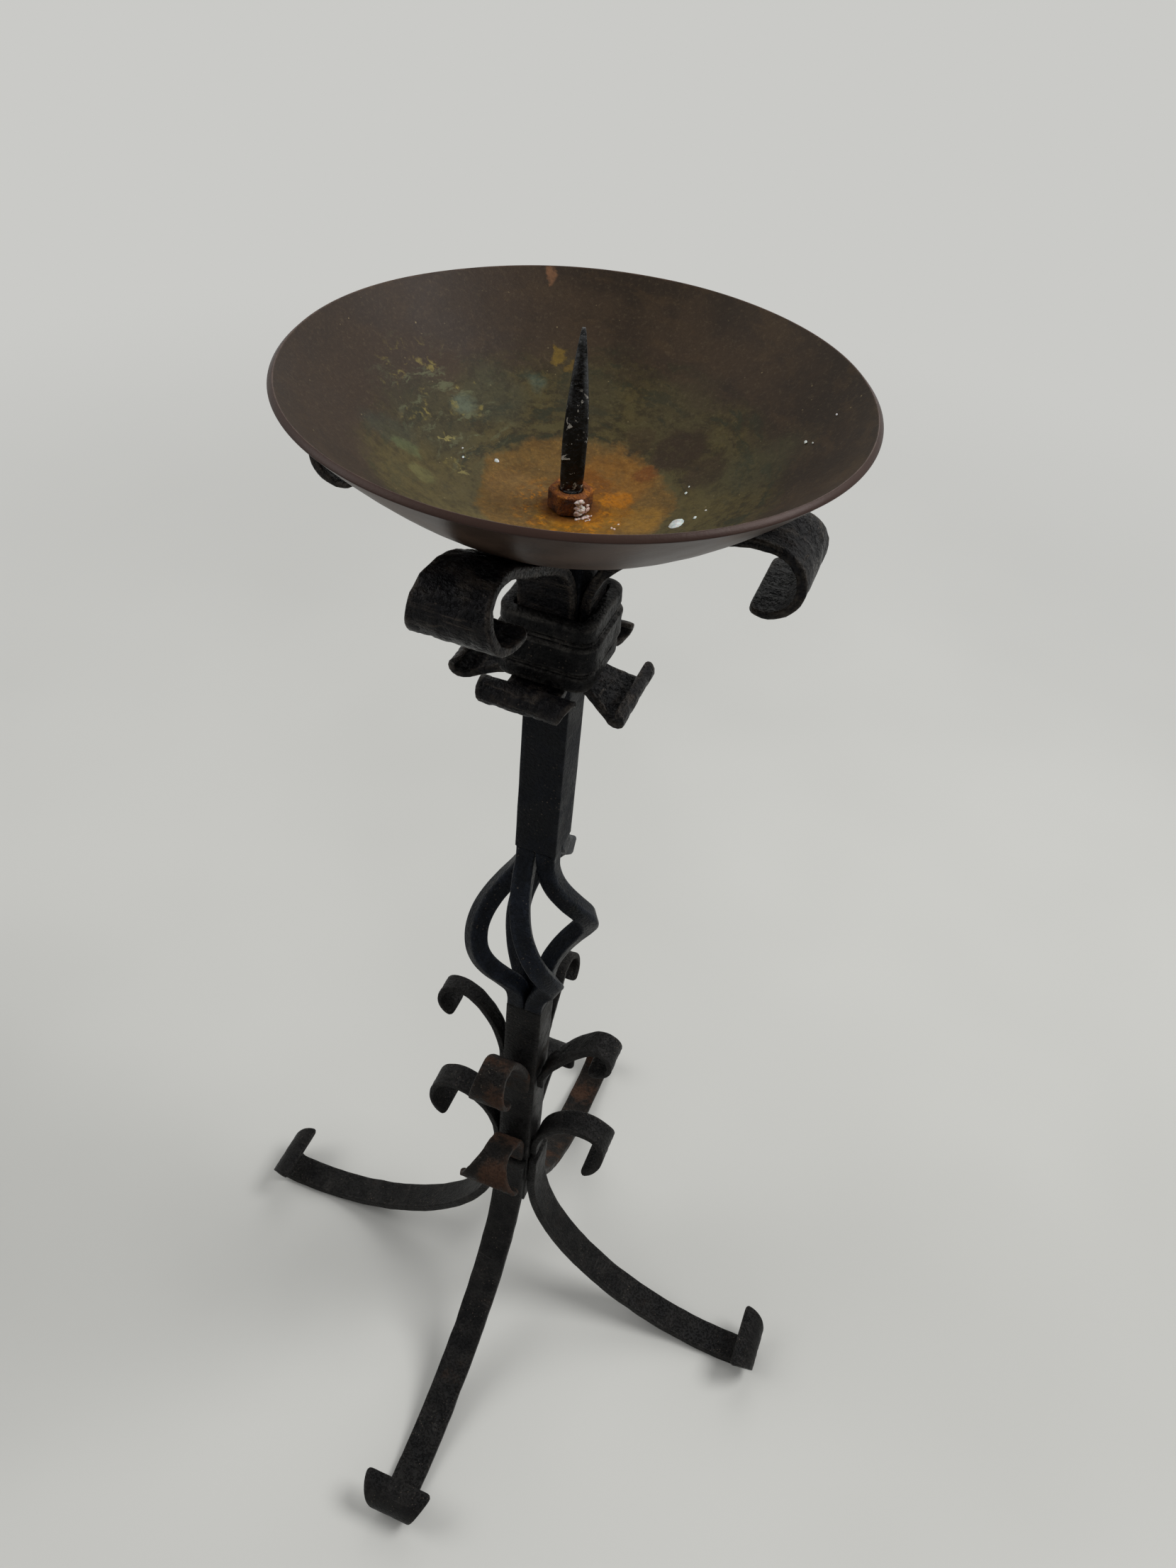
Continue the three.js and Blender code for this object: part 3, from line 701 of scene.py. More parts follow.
def pan_profile():
    """Points of the pan's section from the bore under it, out to the rim and back in along the inside."""
    count = math.ceil((PAN_RIM_RADIUS - pan_seat_radius) / PAN_STEP)
    radii = [BORE_RADIUS, 12.0, 18.0] + [
        pan_seat_radius + (PAN_RIM_RADIUS - pan_seat_radius) * i / count for i in range(count + 1)
    ]
    inside, outside = [], []
    for radius in radii:
        slope = pan_slope(radius)
        height = pan_floor + pan_rise(radius)
        inside.append((radius, height, 1.0, 0.0, 0.0))
        away, down = PAN_WALL * math.sin(slope), PAN_WALL * math.cos(slope)
        outside.append((radius + away, height - down, 0.0, 0.0, 0.0))
    slope = pan_slope(PAN_RIM_RADIUS)
    along = Vector((math.cos(slope), math.sin(slope)))
    through = Vector((math.sin(slope), -math.cos(slope)))
    top = Vector((PAN_RIM_RADIUS, pan_floor + PAN_DEPTH))
    lip = []
    for share, drawn, worn in ((0.97, 0.5, 0.2), (0.88, 0, 0), (0.5, 0, 0), (0.12, 0, 0.3), (0.03, 0.5, 1)):
        point = top + through * (PAN_WALL * share) - along * (RIM_ROUND * drawn)
        lip.append((point.x, point.y, 0.5, 1.0, worn))
    inside[-1] = (*(top - along * RIM_ROUND * 3), 1.0, 0.0, 0.0)
    inside.append((*(top - along * RIM_ROUND * 1.3), 1.0, 0.0, 0.7))
    outside[-1] = (*(top + through * PAN_WALL - along * RIM_ROUND * 4), 0.0, 0.3, 0.0)
    outside.append((*(top + through * PAN_WALL - along * RIM_ROUND * 1.3), 0.0, 1.0, 0.0))
    return outside + lip + inside[::-1]


def drip_pan_piece(material):
    profile = pan_profile()
    points, inner, lip, edge = [], [], [], []
    for turn in range(PAN_TURNS):
        angle = 2 * math.pi * turn / PAN_TURNS
        cos, sin = math.cos(angle), math.sin(angle)
        for radius, height, inside, rim, worn in profile:
            share = smoothstep(radius, 40, PAN_RIM_RADIUS)
            around = Vector((cos * 1.4, sin * 1.4, height / 90))
            sway = PAN_SWAY * share * noise.noise(around)
            bowl = bowl_at(Vector((radius * cos, radius * sin, height)) / PAN_MARK_SIZE)
            dent = PAN_DENT * bowl * (1 - rim)
            out = radius - PAN_DRAWN_IN * share + sway * 0.5
            lowered = height - PAN_SUNK * share + sway
            points.append((out * cos, out * sin, lowered + (dent if inside < 0.5 else -dent)))
            inner.append(inside)
            lip.append(rim)
            edge.append(worn)
    faces = skin_faces(PAN_TURNS, len(profile), loop=True)
    marks = {"inside": inner, "lip": lip, "edge": edge}
    stand_for(make_piece("turned_drip_pan", points, faces, material, marks), "drip_pan")


# ---------------------------------------------------------------- old copper

# Stains inside the pan, with a painted shadow beside the pricket among them, one over another: degrees from
# the right leg towards the back, distance from the axis, size, softness, colour and strength.
PAN_STAINS_AND_SHADOW = [
    (-150, 74, 30, 14, (84, 74, 42), 0.6),
    (-105, 60, 26, 12, (106, 92, 52), 0.7),
    (-60, 54, 26, 12, (106, 88, 46), 0.7),
    (10, 62, 22, 10, (84, 74, 42), 0.6),
    (172, 92, 24, 9, (48, 46, 33), 0.6),
    (142, 90, 17, 7, (50, 51, 38), 0.6),
    (105, 88, 18, 9, (58, 53, 37), 0.6),
    (-168, 100, 12, 4, (46, 51, 42), 0.55),
    (155, 88, 6, 3, (88, 99, 84), 0.6),
    (124, 95, 5, 3, (76, 88, 74), 0.5),
    (-165, 90, 6, 2, (84, 92, 60), 0.6),
    (-156, 77, 7, 2, (100, 98, 60), 0.6),
    (72, 92, 20, 12, (58, 52, 36), 0.5),
    (25, 96, 20, 12, (60, 59, 42), 0.5),
    # Painted shadow: these three dark browns stand for the shade beside the pricket.
    (58, 76, 15, 4, (43, 31, 22), 0.9),
    (38, 78, 12, 4, (47, 35, 25), 0.75),
    (78, 68, 9, 3, (50, 37, 24), 0.6),
    (116, 109, 4, 1, (118, 94, 32), 0.65),
    (112, 102, 3, 1, (108, 84, 32), 0.5),
    (118, 147, 3.5, 1.5, (120, 84, 58), 0.7),
]
# The nut's rust run out over the floor of the pan, in the same terms.
RUST_STAINS = [
    (95, 8, 53, 2.5, (106, 80, 42), 0.85),
    (70, 38, 22, 4, (120, 80, 30), 0.7),
    (90, 26, 15, 4, (104, 60, 14), 0.75),
    (180, 31, 19, 3, (110, 84, 48), 0.85),
    (59, 53, 8, 2, (98, 56, 26), 0.8),
    (5, 36, 15, 4, (136, 100, 40), 0.75),
    (-50, 12, 24, 4, (126, 88, 22), 0.85),
    (30, 20, 15, 3, (130, 84, 16), 0.8),
    (-30, 16, 9, 2, (168, 108, 12), 0.8),
    (45, 28, 8, 2, (160, 98, 14), 0.7),
    (-80, 17, 6, 1.5, (162, 106, 16), 0.6),
]


def old_copper():
    """Copper gone brown: olive and veined inside with wax and water, the nut's rust run out on its floor,
    with painted shade on the left of the inside and a painted shadow beside the pricket.
    """
    material, graph, shader = new_material("old_copper")
    place = graph.place()
    inside = graph.between(graph.mark("inside"), 0.55, 0.95)
    level = (1.0, 1.0, 0.0)
    flat = graph.vector("MULTIPLY", place, level)
    ragged = graph.vector("MULTIPLY", graph.warp(graph.warp(place, 30, 24), 6, 6), level)
    radius = graph.vector("LENGTH", flat)
    cloud = graph.noise(place, 46, 5.0, 0.6)
    fine = graph.noise(place, 6, 5.0, 0.7)

    def stain(degrees, away, size, soft):
        centre = Matrix.Rotation(math.radians(degrees), 3, "Z") @ Vector((away * MM, 0, 0))
        off = graph.vector("DISTANCE", ragged, centre)
        return graph.between(off, (size + soft) * MM, (size - soft) * MM)

    def stained(colour, stains, breaking):
        """Lays stains over a colour, and gives it with the share of each stain. The pan's list also holds a
        painted shadow.
        """
        shares = []
        for degrees, away, size, soft, tint, strength in stains:
            share = graph.times(graph.times(stain(degrees, away, size, soft), strength), breaking)
            colour = graph.lay(tint, share, colour)
            shares.append(share)
        return colour, shares

    # Places drawn out round the axis, for what a turning cloth leaves.
    across, along = graph.parts(graph.warp(flat, 60, 14))[:2]
    outward = graph.vector("LENGTH", graph.warp(flat, 50, 26))
    drawn_out = {0: graph.times(across, 34.0), 1: graph.times(along, 34.0), 2: graph.times(outward, 120.0)}
    ringed = graph.add("ShaderNodeCombineXYZ", drawn_out).outputs[0]
    swirl = graph.clouds(ringed, 1.0, 5.0, 0.7)

    brown = graph.blend(graph.between(cloud, 0.36, 0.64), srgb(40, 31, 23), srgb(55, 43, 31))
    brown = graph.lay((63, 49, 33), graph.between(swirl, 0.5, 0.66), brown, 0.5)
    # Painted shade: the left side of the inside is laid darker.
    brown = graph.lay((49, 39, 33), graph.between(across, -0.02, -0.13), brown, 0.5)
    olive = graph.blend(graph.between(fine, 0.38, 0.62), srgb(46, 39, 22), srgb(70, 61, 34))
    olive = graph.lay((69, 62, 36), graph.between(swirl, 0.5, 0.62), olive)
    olive = graph.lay((42, 41, 26), graph.between(swirl, 0.47, 0.37), olive)
    unevenness = graph.times(graph.math("SUBTRACT", swirl, 0.5), 0.05)
    green_edge = graph.math("ADD", graph.vector("LENGTH", ragged), unevenness)
    colour = graph.blend(graph.between(green_edge, 0.118, 0.092), brown, olive)
    colour, _ = stained(colour, PAN_STAINS_AND_SHADOW, graph.between(fine, 0.3, 0.6, 0.5, 1.0))

    # Veins and flakes of dried wax, on the left.
    among = stain(164, 88, 34, 12)
    streak = graph.clouds(graph.vector("ADD", ringed, (7.0, 3.0, 1.0)), 1.5, 5.0, 0.7)
    haze = graph.times(graph.between(streak, 0.54, 0.66), among)
    colour = graph.lay((90, 93, 68), haze, colour, 0.6)
    veined = graph.noise(graph.warp(place, 18, 16), 40, 3.0, 0.6)
    off_vein = graph.math("ABSOLUTE", graph.math("SUBTRACT", veined, 0.5))
    broken = graph.between(graph.noise(place, 14, 4.0, 0.65), 0.5, 0.62)
    veins = graph.times(graph.between(off_vein, 0.026, 0.004), graph.times(broken, among))
    colour = graph.lay((122, 110, 58), veins, colour, 0.7)
    flakes = graph.between(graph.noise(graph.warp(place, 9, 9), 9, 3.0, 0.6), 0.6, 0.66)
    colour = graph.lay((138, 128, 76), graph.times(flakes, stain(178, 68, 13, 5)), colour, 0.75)

    # The nut's rust, drawn out by the cloth, spotted near the nut and dark under it.
    colour, shares = stained(colour, RUST_STAINS, graph.between(fine, 0.3, 0.58, 0.55, 1.0))
    crust = shares[0]
    for share in shares[1:]:
        crust = graph.math("MAXIMUM", crust, share)
    grime = graph.times(graph.between(swirl, 0.5, 0.4), graph.times(crust, 0.3))
    colour = graph.lay((72, 48, 22), grime, colour)
    near_nut = graph.between(radius, 0.036, 0.024)
    runs = graph.between(graph.clouds(ringed, 3.2, 4.0, 0.7), 0.5, 0.42)
    colour = graph.lay((92, 56, 16), graph.times(runs, near_nut), colour, 0.55)
    spots = graph.between(fine, 0.53, 0.6)
    colour = graph.lay((172, 108, 16), graph.times(spots, near_nut), colour, 0.6)
    colour = graph.lay((84, 44, 14), graph.between(radius, 0.02, 0.013), colour, 0.75)

    # The grain of it all, in the crust and over the whole inside.
    mottle = graph.noise(place, 3.2, 6.0, 0.75)
    colour = graph.lay((66, 46, 26), graph.times(graph.between(mottle, 0.52, 0.38), crust), colour, 0.34)
    colour = graph.lay((156, 116, 56), graph.times(graph.between(mottle, 0.52, 0.66), crust), colour, 0.3)
    grained = graph.noise(graph.warp(place, 8, 6), 2.2, 6.0, 0.8)
    colour = graph.lay((24, 20, 14), graph.between(grained, 0.5, 0.36, 0.0, 0.22), colour)
    colour = graph.lay((112, 100, 76), graph.between(grained, 0.52, 0.68, 0.0, 0.17), colour)
    specks = graph.effect(PALE_SPECKS, {"Speck Scale": 150.0, "Cover": 0.07})["Mask"]
    colour = graph.lay((140, 126, 92), specks, colour, 0.5)

    outside = graph.blend(graph.between(cloud, 0.34, 0.66), srgb(56, 44, 37), srgb(78, 62, 52))
    colour = graph.blend(inside, outside, colour)
    colour = graph.lay((50, 34, 29), graph.mark("lip"), colour, 0.9)
    edges = graph.effect(EDGE_WEAR_AND_GLINT, {"Strength": 0.5})["Mask"]
    graph.feed(shader.inputs["Base Color"], graph.lay((84, 66, 56), edges, colour))

    crust = graph.times(crust, inside)
    rough = graph.between(cloud, 0.3, 0.7, 0.36, 0.44)
    rough = graph.math("ADD", rough, graph.times(inside, 0.14))
    rough = graph.math("ADD", rough, graph.times(crust, 0.3), clamp=True)
    graph.feed(shader.inputs["Roughness"], rough)
    shader.inputs["Metallic"].default_value = 0.15
    shader.inputs["Specular IOR Level"].default_value = 0.14
    grain = graph.times(graph.noise(place, 1.6, 4.0, 0.6), graph.math("ADD", crust, 0.3))
    height = graph.math("ADD", grain, graph.times(graph.math("ADD", fine, veins), 0.4))
    relief(graph, shader, height, 0.25)
    return material


# ---------------------------------------------------------------- pan, nut and pricket

drip_pan_piece(old_copper())

nut_foot = pan_floor + GAP
nut_top = nut_foot + NUT_HEIGHT


def hexagon(corner, height, turn, edge_round=0.45):
    """A ring round a hexagon's outline with eased corners."""
    ring = []
    for side in range(6):
        for i in range(HEX_STEPS):
            share = i / HEX_STEPS
            angle = math.radians(60 * (side + share))
            flat = corner * math.cos(math.radians(30)) / math.cos(math.radians(60 * share - 30))
            off = min(share, 1 - share)
            radius = flat - edge_round * math.exp(-((off / HEX_EASE) ** 2))
            direction = Matrix.Rotation(angle + math.radians(turn), 3, "Z") @ Vector((1, 0, 0))
            worn = math.exp(-((off / HEX_WEAR) ** 2))
            ring.append((direction * radius + Vector((0, 0, height)), direction, worn))
    return ring


def circle(radius, height, turn, count, outward=1.0):
    """A ring round a circle; with outward 0 it stays clear of the hammer."""
    ring = []
    for i in range(count):
        direction = Matrix.Rotation(2 * math.pi * i / count + math.radians(turn), 3, "Z") @ Vector((1, 0, 0))
        ring.append((direction * radius + Vector((0, 0, height)), direction * outward, 0.0))
    return ring


def rusted_steel():
    """The nut's thick rust: dark brown on its flats and orange on its top, with wax stuck on it."""
    material, graph, shader = new_material("rusted_steel")
    place = graph.place()
    scale = graph.effect(FIRE_SCALE, {"Tone Scale": 190.0, "Pit Scale": 900.0})
    bloom = graph.effect(RUST_BLOOM, {"Patch Scale": 150.0, "Cover": 0.6})["Mask"]
    specks = graph.effect(PALE_SPECKS, {"Speck Scale": 420.0, "Cover": 0.12})["Mask"]
    on_top = graph.between(graph.parts(place)["Z"], (nut_top - 1.8) * MM, (nut_top - 0.4) * MM)
    colour = graph.blend(scale["Tone"], srgb(58, 30, 15), srgb(100, 54, 24))
    colour = graph.lay((132, 74, 24), on_top, colour, 0.6)
    bright = graph.times(bloom, graph.math("ADD", graph.times(on_top, 0.6), 0.3))
    colour = graph.lay((166, 100, 28), bright, colour)
    colour = graph.lay((176, 150, 132), specks, colour, 0.5)
    graph.feed(shader.inputs["Base Color"], colour)
    graph.feed(shader.inputs["Roughness"], graph.between(scale["Tone"], 0.0, 1.0, 0.65, 0.92))
    shader.inputs["Specular IOR Level"].default_value = 0.3
    crust = graph.math("ADD", scale["Height"], graph.times(graph.noise(place, 2.4), 0.8))
    relief(graph, shader, crust, 0.6)
    return material


def nut_rings():
    corner = NUT_FLATS / math.sqrt(3)
    inner = corner - NUT_CHAMFER
    low, high = nut_foot, nut_top
    rows = [(inner, low), (corner - 0.2, low + 0.6), (corner, low + 1)]
    rows += [(corner, low + 1 + (NUT_HEIGHT - 2) * i / 6) for i in range(1, 6)]
    rows += [(corner, high - 1), (corner - 0.3, high - 0.5), (inner, high), (inner * 0.86, high)]
    rings = [hexagon(radius, height, NUT_TURN) for radius, height in rows]
    count = 6 * HEX_STEPS
    rings.append(circle(BORE_RADIUS + 1.0, high, NUT_TURN, count))
    rings.append(circle(BORE_RADIUS, high - 0.9, NUT_TURN, count, 0.0))
    rings.append(circle(BORE_RADIUS, low, NUT_TURN, count, 0.0))
    return rings


forge(
    "pan_nut", nut_rings(), rusted_steel(),
    seed=3, size=3.4, depth=0.2, sway=0.15, loop=True,
)


def pricket_iron():
    """The pricket: black and glossy, with rust creeping up from its foot, white flecks of old wax and a
    painted highlight on its upper arrises.
    """
    material, graph, shader = new_material("pricket_iron")
    place = graph.place()
    scale = graph.effect(FIRE_SCALE, {"Tone Scale": 90.0, "Pit Scale": 500.0})
    bloom = graph.effect(RUST_BLOOM, {"Patch Scale": 130.0, "Cover": 0.55})["Mask"]
    specks = graph.effect(PALE_SPECKS, {"Speck Scale": 210.0, "Cover": 0.1})["Mask"]
    edges = graph.effect(EDGE_WEAR_AND_GLINT, {"Strength": 0.8})["Mask"]
    height = graph.parts(place)["Z"]
    near_foot = graph.between(height, (nut_top + 20) * MM, (nut_top + 1) * MM)
    middle = graph.between(height, (nut_top + 62) * MM, (nut_top + 48) * MM)
    upper = graph.between(height, (nut_top + 40) * MM, (nut_top + 70) * MM, 0.3, 1.0)
    peeled = graph.between(graph.noise(place, 6, 4.0, 0.6, 1.0), 0.615, 0.64)
    flecks = graph.times(graph.math("MAXIMUM", graph.times(specks, 0.8), peeled), middle)
    colour = graph.blend(scale["Tone"], srgb(7, 7, 8), srgb(18, 18, 20))
    # Painted highlight: pale grey along the arrises, stronger towards the top.
    colour = graph.lay((92, 94, 96), graph.times(edges, upper), colour)
    colour = graph.lay((66, 36, 18), graph.times(near_foot, bloom), colour)
    colour = graph.lay((182, 178, 170), flecks, colour)
    graph.feed(shader.inputs["Base Color"], colour)
    rough = graph.between(scale["Tone"], 0.0, 1.0, 0.24, 0.36)
    graph.feed(shader.inputs["Roughness"], graph.math("ADD", rough, graph.times(flecks, 0.3)))
    shader.inputs["Specular IOR Level"].default_value = 0.3
    relief(graph, shader, graph.math("ADD", scale["Height"], flecks), 0.2)
    return material


# Height share and width share of the pricket, from its rounded foot to its blunt tip.
SPIKE_STATIONS = [
    (0, 0.68), (0.03, 0.86), (0.09, 0.94), (0.33, 1), (0.55, 0.84), (0.8, 0.5), (0.97, 0.24), (1, 0.14),
]


def spike_width(share):
    for (low, start), (high, end) in zip(SPIKE_STATIONS, SPIKE_STATIONS[1:]):
        if share <= high:
            return SPIKE_WIDTH * (start + (end - start) * (share - low) / (high - low))
    return SPIKE_WIDTH * SPIKE_STATIONS[-1][1]


def pricket_rings():
    foot = nut_top + GAP
    side_steps = 5
    turn = Matrix.Rotation(math.radians(SPIKE_TURN), 3, "Z")
    rings = []
    count = len(bar_outline(10, 10, side_steps, side_steps))
    low = PAN_SEAT_HEIGHT - STUD_DEPTH + 1
    for height, radius in ((low, STUD_RADIUS - 0.8), (low + 0.8, STUD_RADIUS), (foot - 1, STUD_RADIUS)):
        rings.append(circle(radius, height, SPIKE_TURN, count, 0.0))
    rings.append(circle(STUD_RADIUS, foot, SPIKE_TURN, count, 0.0))
    steps = 48
    for i in range(steps + 1):
        share = i / steps
        width = spike_width(share)
        outline = bar_outline(width, width, side_steps, side_steps, width * 0.08)
        ring = []
        for across, through, out_across, out_through, edge in outline:
            point = turn @ Vector((across, through, 0)) + Vector((0, 0, foot + SPIKE_HEIGHT * share))
            ring.append((point, turn @ Vector((out_across, out_through, 0)), edge))
        rings.append(ring)
    return rings


forge(
    "pricket", pricket_rings(), pricket_iron(),
    seed=5, size=13.0, depth=0.22, sway=0.12,
)

# ---------------------------------------------------------------- old wax

# Wax on the pan: degrees, distance from the axis, length, width and turn.
WAX_DROPS = [
    (-1, 60.5, 12.0, 8.0, 90), (160.6, 54.8, 3.2, 3.0, 0), (22.9, 120.4, 3.0, 1.8, 30),
    (25.3, 135.1, 1.8, 1.2, 0), (28.9, 63.3, 2.4, 1.6, 50), (33, 66.0, 1.6, 1.0, 0),
    (3.1, 68.6, 3.0, 2.0, 15), (8, 73.0, 1.6, 1.2, 0), (20.5, 123.0, 1.6, 1.0, 0),
    (175.8, 66.1, 2.4, 1.4, 40), (171, 70.0, 1.4, 1.1, 0), (-60, 40.0, 1.3, 1.0, 0),
]
# Crumbs stuck on the nut and beside it: degrees and spread, distance from the axis and spread, lowest and
# highest over the nut's foot, smallest and largest size, and how many.
WAX_CRUMBS = [
    (-36, 17, 12.0, 0.4, 2.4, 9.6, 1.0, 2.7, 30), (-48, 8, 11.8, 0.3, 1.6, 5.0, 1.2, 2.9, 10),
    (-36, 18, 12.8, 0.5, 0.4, 0.9, 1.0, 2.4, 12), (-34, 26, 15.4, 1.8, 0.4, 0.7, 0.6, 1.3, 6),
    (-14, 8, 27.0, 5.0, 0.4, 0.7, 0.8, 1.5, 3),
]


def wax(name, dark, light):
    """Old wax, cloudy and a little translucent."""
    material, graph, shader = new_material(name)
    place = graph.place()
    cloud = graph.noise(place, 3.0, 4.0, 0.6)
    colour = graph.blend(graph.between(cloud, 0.35, 0.65), dark, light)
    graph.feed(shader.inputs["Base Color"], colour)
    graph.feed(shader.inputs["Roughness"], graph.between(cloud, 0.3, 0.7, 0.42, 0.62))
    shader.inputs["Subsurface Weight"].default_value = 0.25
    shader.inputs["Subsurface Scale"].default_value = 0.002
    relief(graph, shader, graph.noise(place, 1.0, 3.0), 0.15)
    return material


def lump(centre, up, length, width, height, turn, seed, raggedness):
    """A closed lump: a dome with a ragged outline, pressed on the surface whose normal is up."""
    across = up.cross(Vector((0, 0, 1)) if abs(up.z) < 0.9 else Vector((1, 0, 0))).normalized()
    ahead = up.cross(across)
    rows, count = 4, 12
    points = [centre + up * height]
    for row in range(1, rows + 1):
        tilt = (math.pi / 2) * row / rows
        for i in range(count):
            angle = 2 * math.pi * i / count + math.radians(turn)
            about = Vector((math.cos(angle) * 1.8, math.sin(angle) * 1.8, seed * 4.7 + row * 0.5))
            ragged = 1 + raggedness * noise.noise(about)
            out = math.sin(tilt) * ragged
            flat = across * (math.cos(angle) * out * length / 2) + ahead * (math.sin(angle) * out * width / 2)
            points.append(centre + flat + up * (height * math.cos(tilt) - 0.12))
    faces = [(0, 1 + i, 1 + (i + 1) % count) for i in range(count)]
    for row in range(rows - 1):
        for i in range(count):
            low, high = 1 + row * count, 1 + (row + 1) * count
            faces.append((low + i, high + i, high + (i + 1) % count, low + (i + 1) % count))
    faces.append(tuple(1 + (rows - 1) * count + i for i in reversed(range(count))))
    return points, faces


def join(parts):
    points, faces = [], []
    for some_points, some_faces in parts:
        start = len(points)
        points += some_points
        faces += [tuple(start + i for i in face) for face in some_faces]
    return points, faces


def wax_on_pan():
    parts = []
    for seed, (degrees, distance, length, width, turn) in enumerate(WAX_DROPS):
        out = Matrix.Rotation(math.radians(degrees), 3, "Z") @ Vector((1, 0, 0))
        slope = pan_slope(distance)
        up = Vector((0, 0, math.cos(slope))) - out * math.sin(slope)
        centre = out * (distance - 0.2) + Vector((0, 0, pan_floor + pan_rise(distance) - 0.25))
        parts.append(lump(centre, up, length, width, 0.3 + 0.13 * width, turn + degrees, seed, 0.25))
    return join(parts)


def wax_on_nut():
    draw = random.Random(CRUMB_SEED)
    parts = []
    for degrees, swing, away, spread, low, high, small, large, count in WAX_CRUMBS:
        for _ in range(count):
            turn = degrees + swing * draw.uniform(-1, 1)
            distance = away + spread * draw.uniform(-1, 1)
            height = low + (high - low) * draw.random() ** 1.4
            size = draw.uniform(small, large)
            out = Matrix.Rotation(math.radians(turn), 3, "Z") @ Vector((1, 0, 0))
            on_floor = high < 1
            up = Vector((0, 0, 1)) if on_floor else (out + Vector((0, 0, 0.2))).normalized()
            centre = out * distance + Vector((0, 0, nut_foot + height - (GAP + 0.5 if on_floor else 0)))
            length, rise = size * CRUMB_LENGTH, size * CRUMB_HEIGHT
            parts.append(lump(centre, up, length, size, rise, draw.uniform(0, 360), len(parts), 0.6))
    return join(parts)


WHITE_WAX = wax("white_wax", srgb(164, 170, 168), srgb(204, 208, 204))
PINK_WAX = wax("pink_wax", srgb(176, 146, 136), srgb(212, 196, 188))
make_piece("wax_drops", *wax_on_pan(), WHITE_WAX)
make_piece("wax_crumbs", *wax_on_nut(), PINK_WAX)

# ---------------------------------------------------------------- post, shaft and basket


def bar_rings(width, low, high, face_steps):
    """Rings of an upright square bar, drawn in at its two ends."""
    length = high - low
    rings = []
    for along, drawn in stations(length, (1.4,)):
        outline = bar_outline(width - 2 * drawn, width - 2 * drawn, face_steps, face_steps)
        rings.append([
            (Vector((across, through, low + along)), Vector((out_across, out_through, 0)), edge)
            for across, through, out_across, out_through, edge in outline
        ])
    return rings


def post_rings():
    rings = bar_rings(POST_WIDTH, BASKET_TOP + GAP / 2, PAN_SEAT_HEIGHT, 10)
    count = len(rings[0])
    turn = math.degrees(math.atan2(rings[0][0][0].y, rings[0][0][0].x))
    rings.append(circle(BORE_RADIUS, PAN_SEAT_HEIGHT, turn, count, 0.0))
    rings.append(circle(BORE_RADIUS, PAN_SEAT_HEIGHT - STUD_DEPTH, turn, count, 0.0))
    return rings


forge(
    "post", post_rings(), BLACK_IRON,
    seed=11, size=30, depth=0.12, sway=0.3,
)
forge(
    "lower_shaft", bar_rings(SHAFT_WIDTH, SHAFT_FOOT_HEIGHT, BASKET_BOTTOM - GAP / 2, 10),
    WORN_IRON, seed=12, size=20, depth=0.2, sway=0.3,
)

quarter_width = min(POST_WIDTH, SHAFT_WIDTH) / 2 - GAP


def basket_centre(form, down):
    """Centre of a bar at a share of the way down: its place in the twisted bundle, moved out by its bow."""
    turned = smoothstep(down, 0, 1)
    elbow = form["elbow"]
    phase = down / elbow / 2 if down < elbow else 1 - (1 - down) / (1 - elbow) / 2
    swell = form["bow"] * math.sin(math.pi * phase) ** form["power"]
    lean = math.radians(BOW_LEAN_TOP + (BOW_LEAN_BOTTOM - BOW_LEAN_TOP) * turned)
    bundle = (quarter_width + GAP) * math.sqrt(0.5)
    quadrant = math.radians(90 * BASKET_QUARTER_TURNS * turned - 45)
    return Vector((
        bundle * math.cos(quadrant) + swell * math.cos(lean),
        bundle * math.sin(quadrant) + swell * math.sin(lean),
        (BASKET_TOP - GAP / 2) * (1 - down) + (BASKET_BOTTOM + GAP / 2) * down,
    ))


def basket_rings(form, turn):
    shares = [i / BASKET_RINGS for i in range(BASKET_RINGS + 1)]
    centres = [basket_centre(form, down) for down in shares]
    side = Matrix.Rotation(math.radians(turn), 3, "Z")
    up = Vector((0, 0, 1))
    rings = []
    for i, (down, centre) in enumerate(zip(shares, centres)):
        rising = centres[i - 1] - centres[i + 1] if 0 < i < BASKET_RINGS else up
        tilt = up.rotation_difference(rising.normalized()).to_matrix()
        twist = Matrix.Rotation(math.radians(90 * BASKET_QUARTER_TURNS * smoothstep(down, 0, 1)), 3, "Z")
        settle = smoothstep(min(down, 1 - down), 0, 0.12)
        width = quarter_width - 0.2 * settle
        rounding = EDGE_ROUND + (BASKET_EDGE_ROUND - EDGE_ROUND) * settle
        spin = side @ tilt @ twist
        ring = []
        for across, through, out_across, out_through, edge in bar_outline(width, width, 5, 5, rounding):
            point = spin @ Vector((across, through, 0)) + side @ centre
            ring.append((point, spin @ Vector((out_across, out_through, 0)), edge))
        rings.append(ring)
    return rings


# ---------------------------------------------------------------- collar and scroll straps

strap_radius = POST_WIDTH / 2 + GAP + STRAP_THICKNESS / 2
collar_foot = PAN_SEAT_HEIGHT - COLLAR_DROP
collar_head = collar_foot + COLLAR_HEIGHT
collar_inside = strap_radius + STRAP_THICKNESS / 2 + GAP


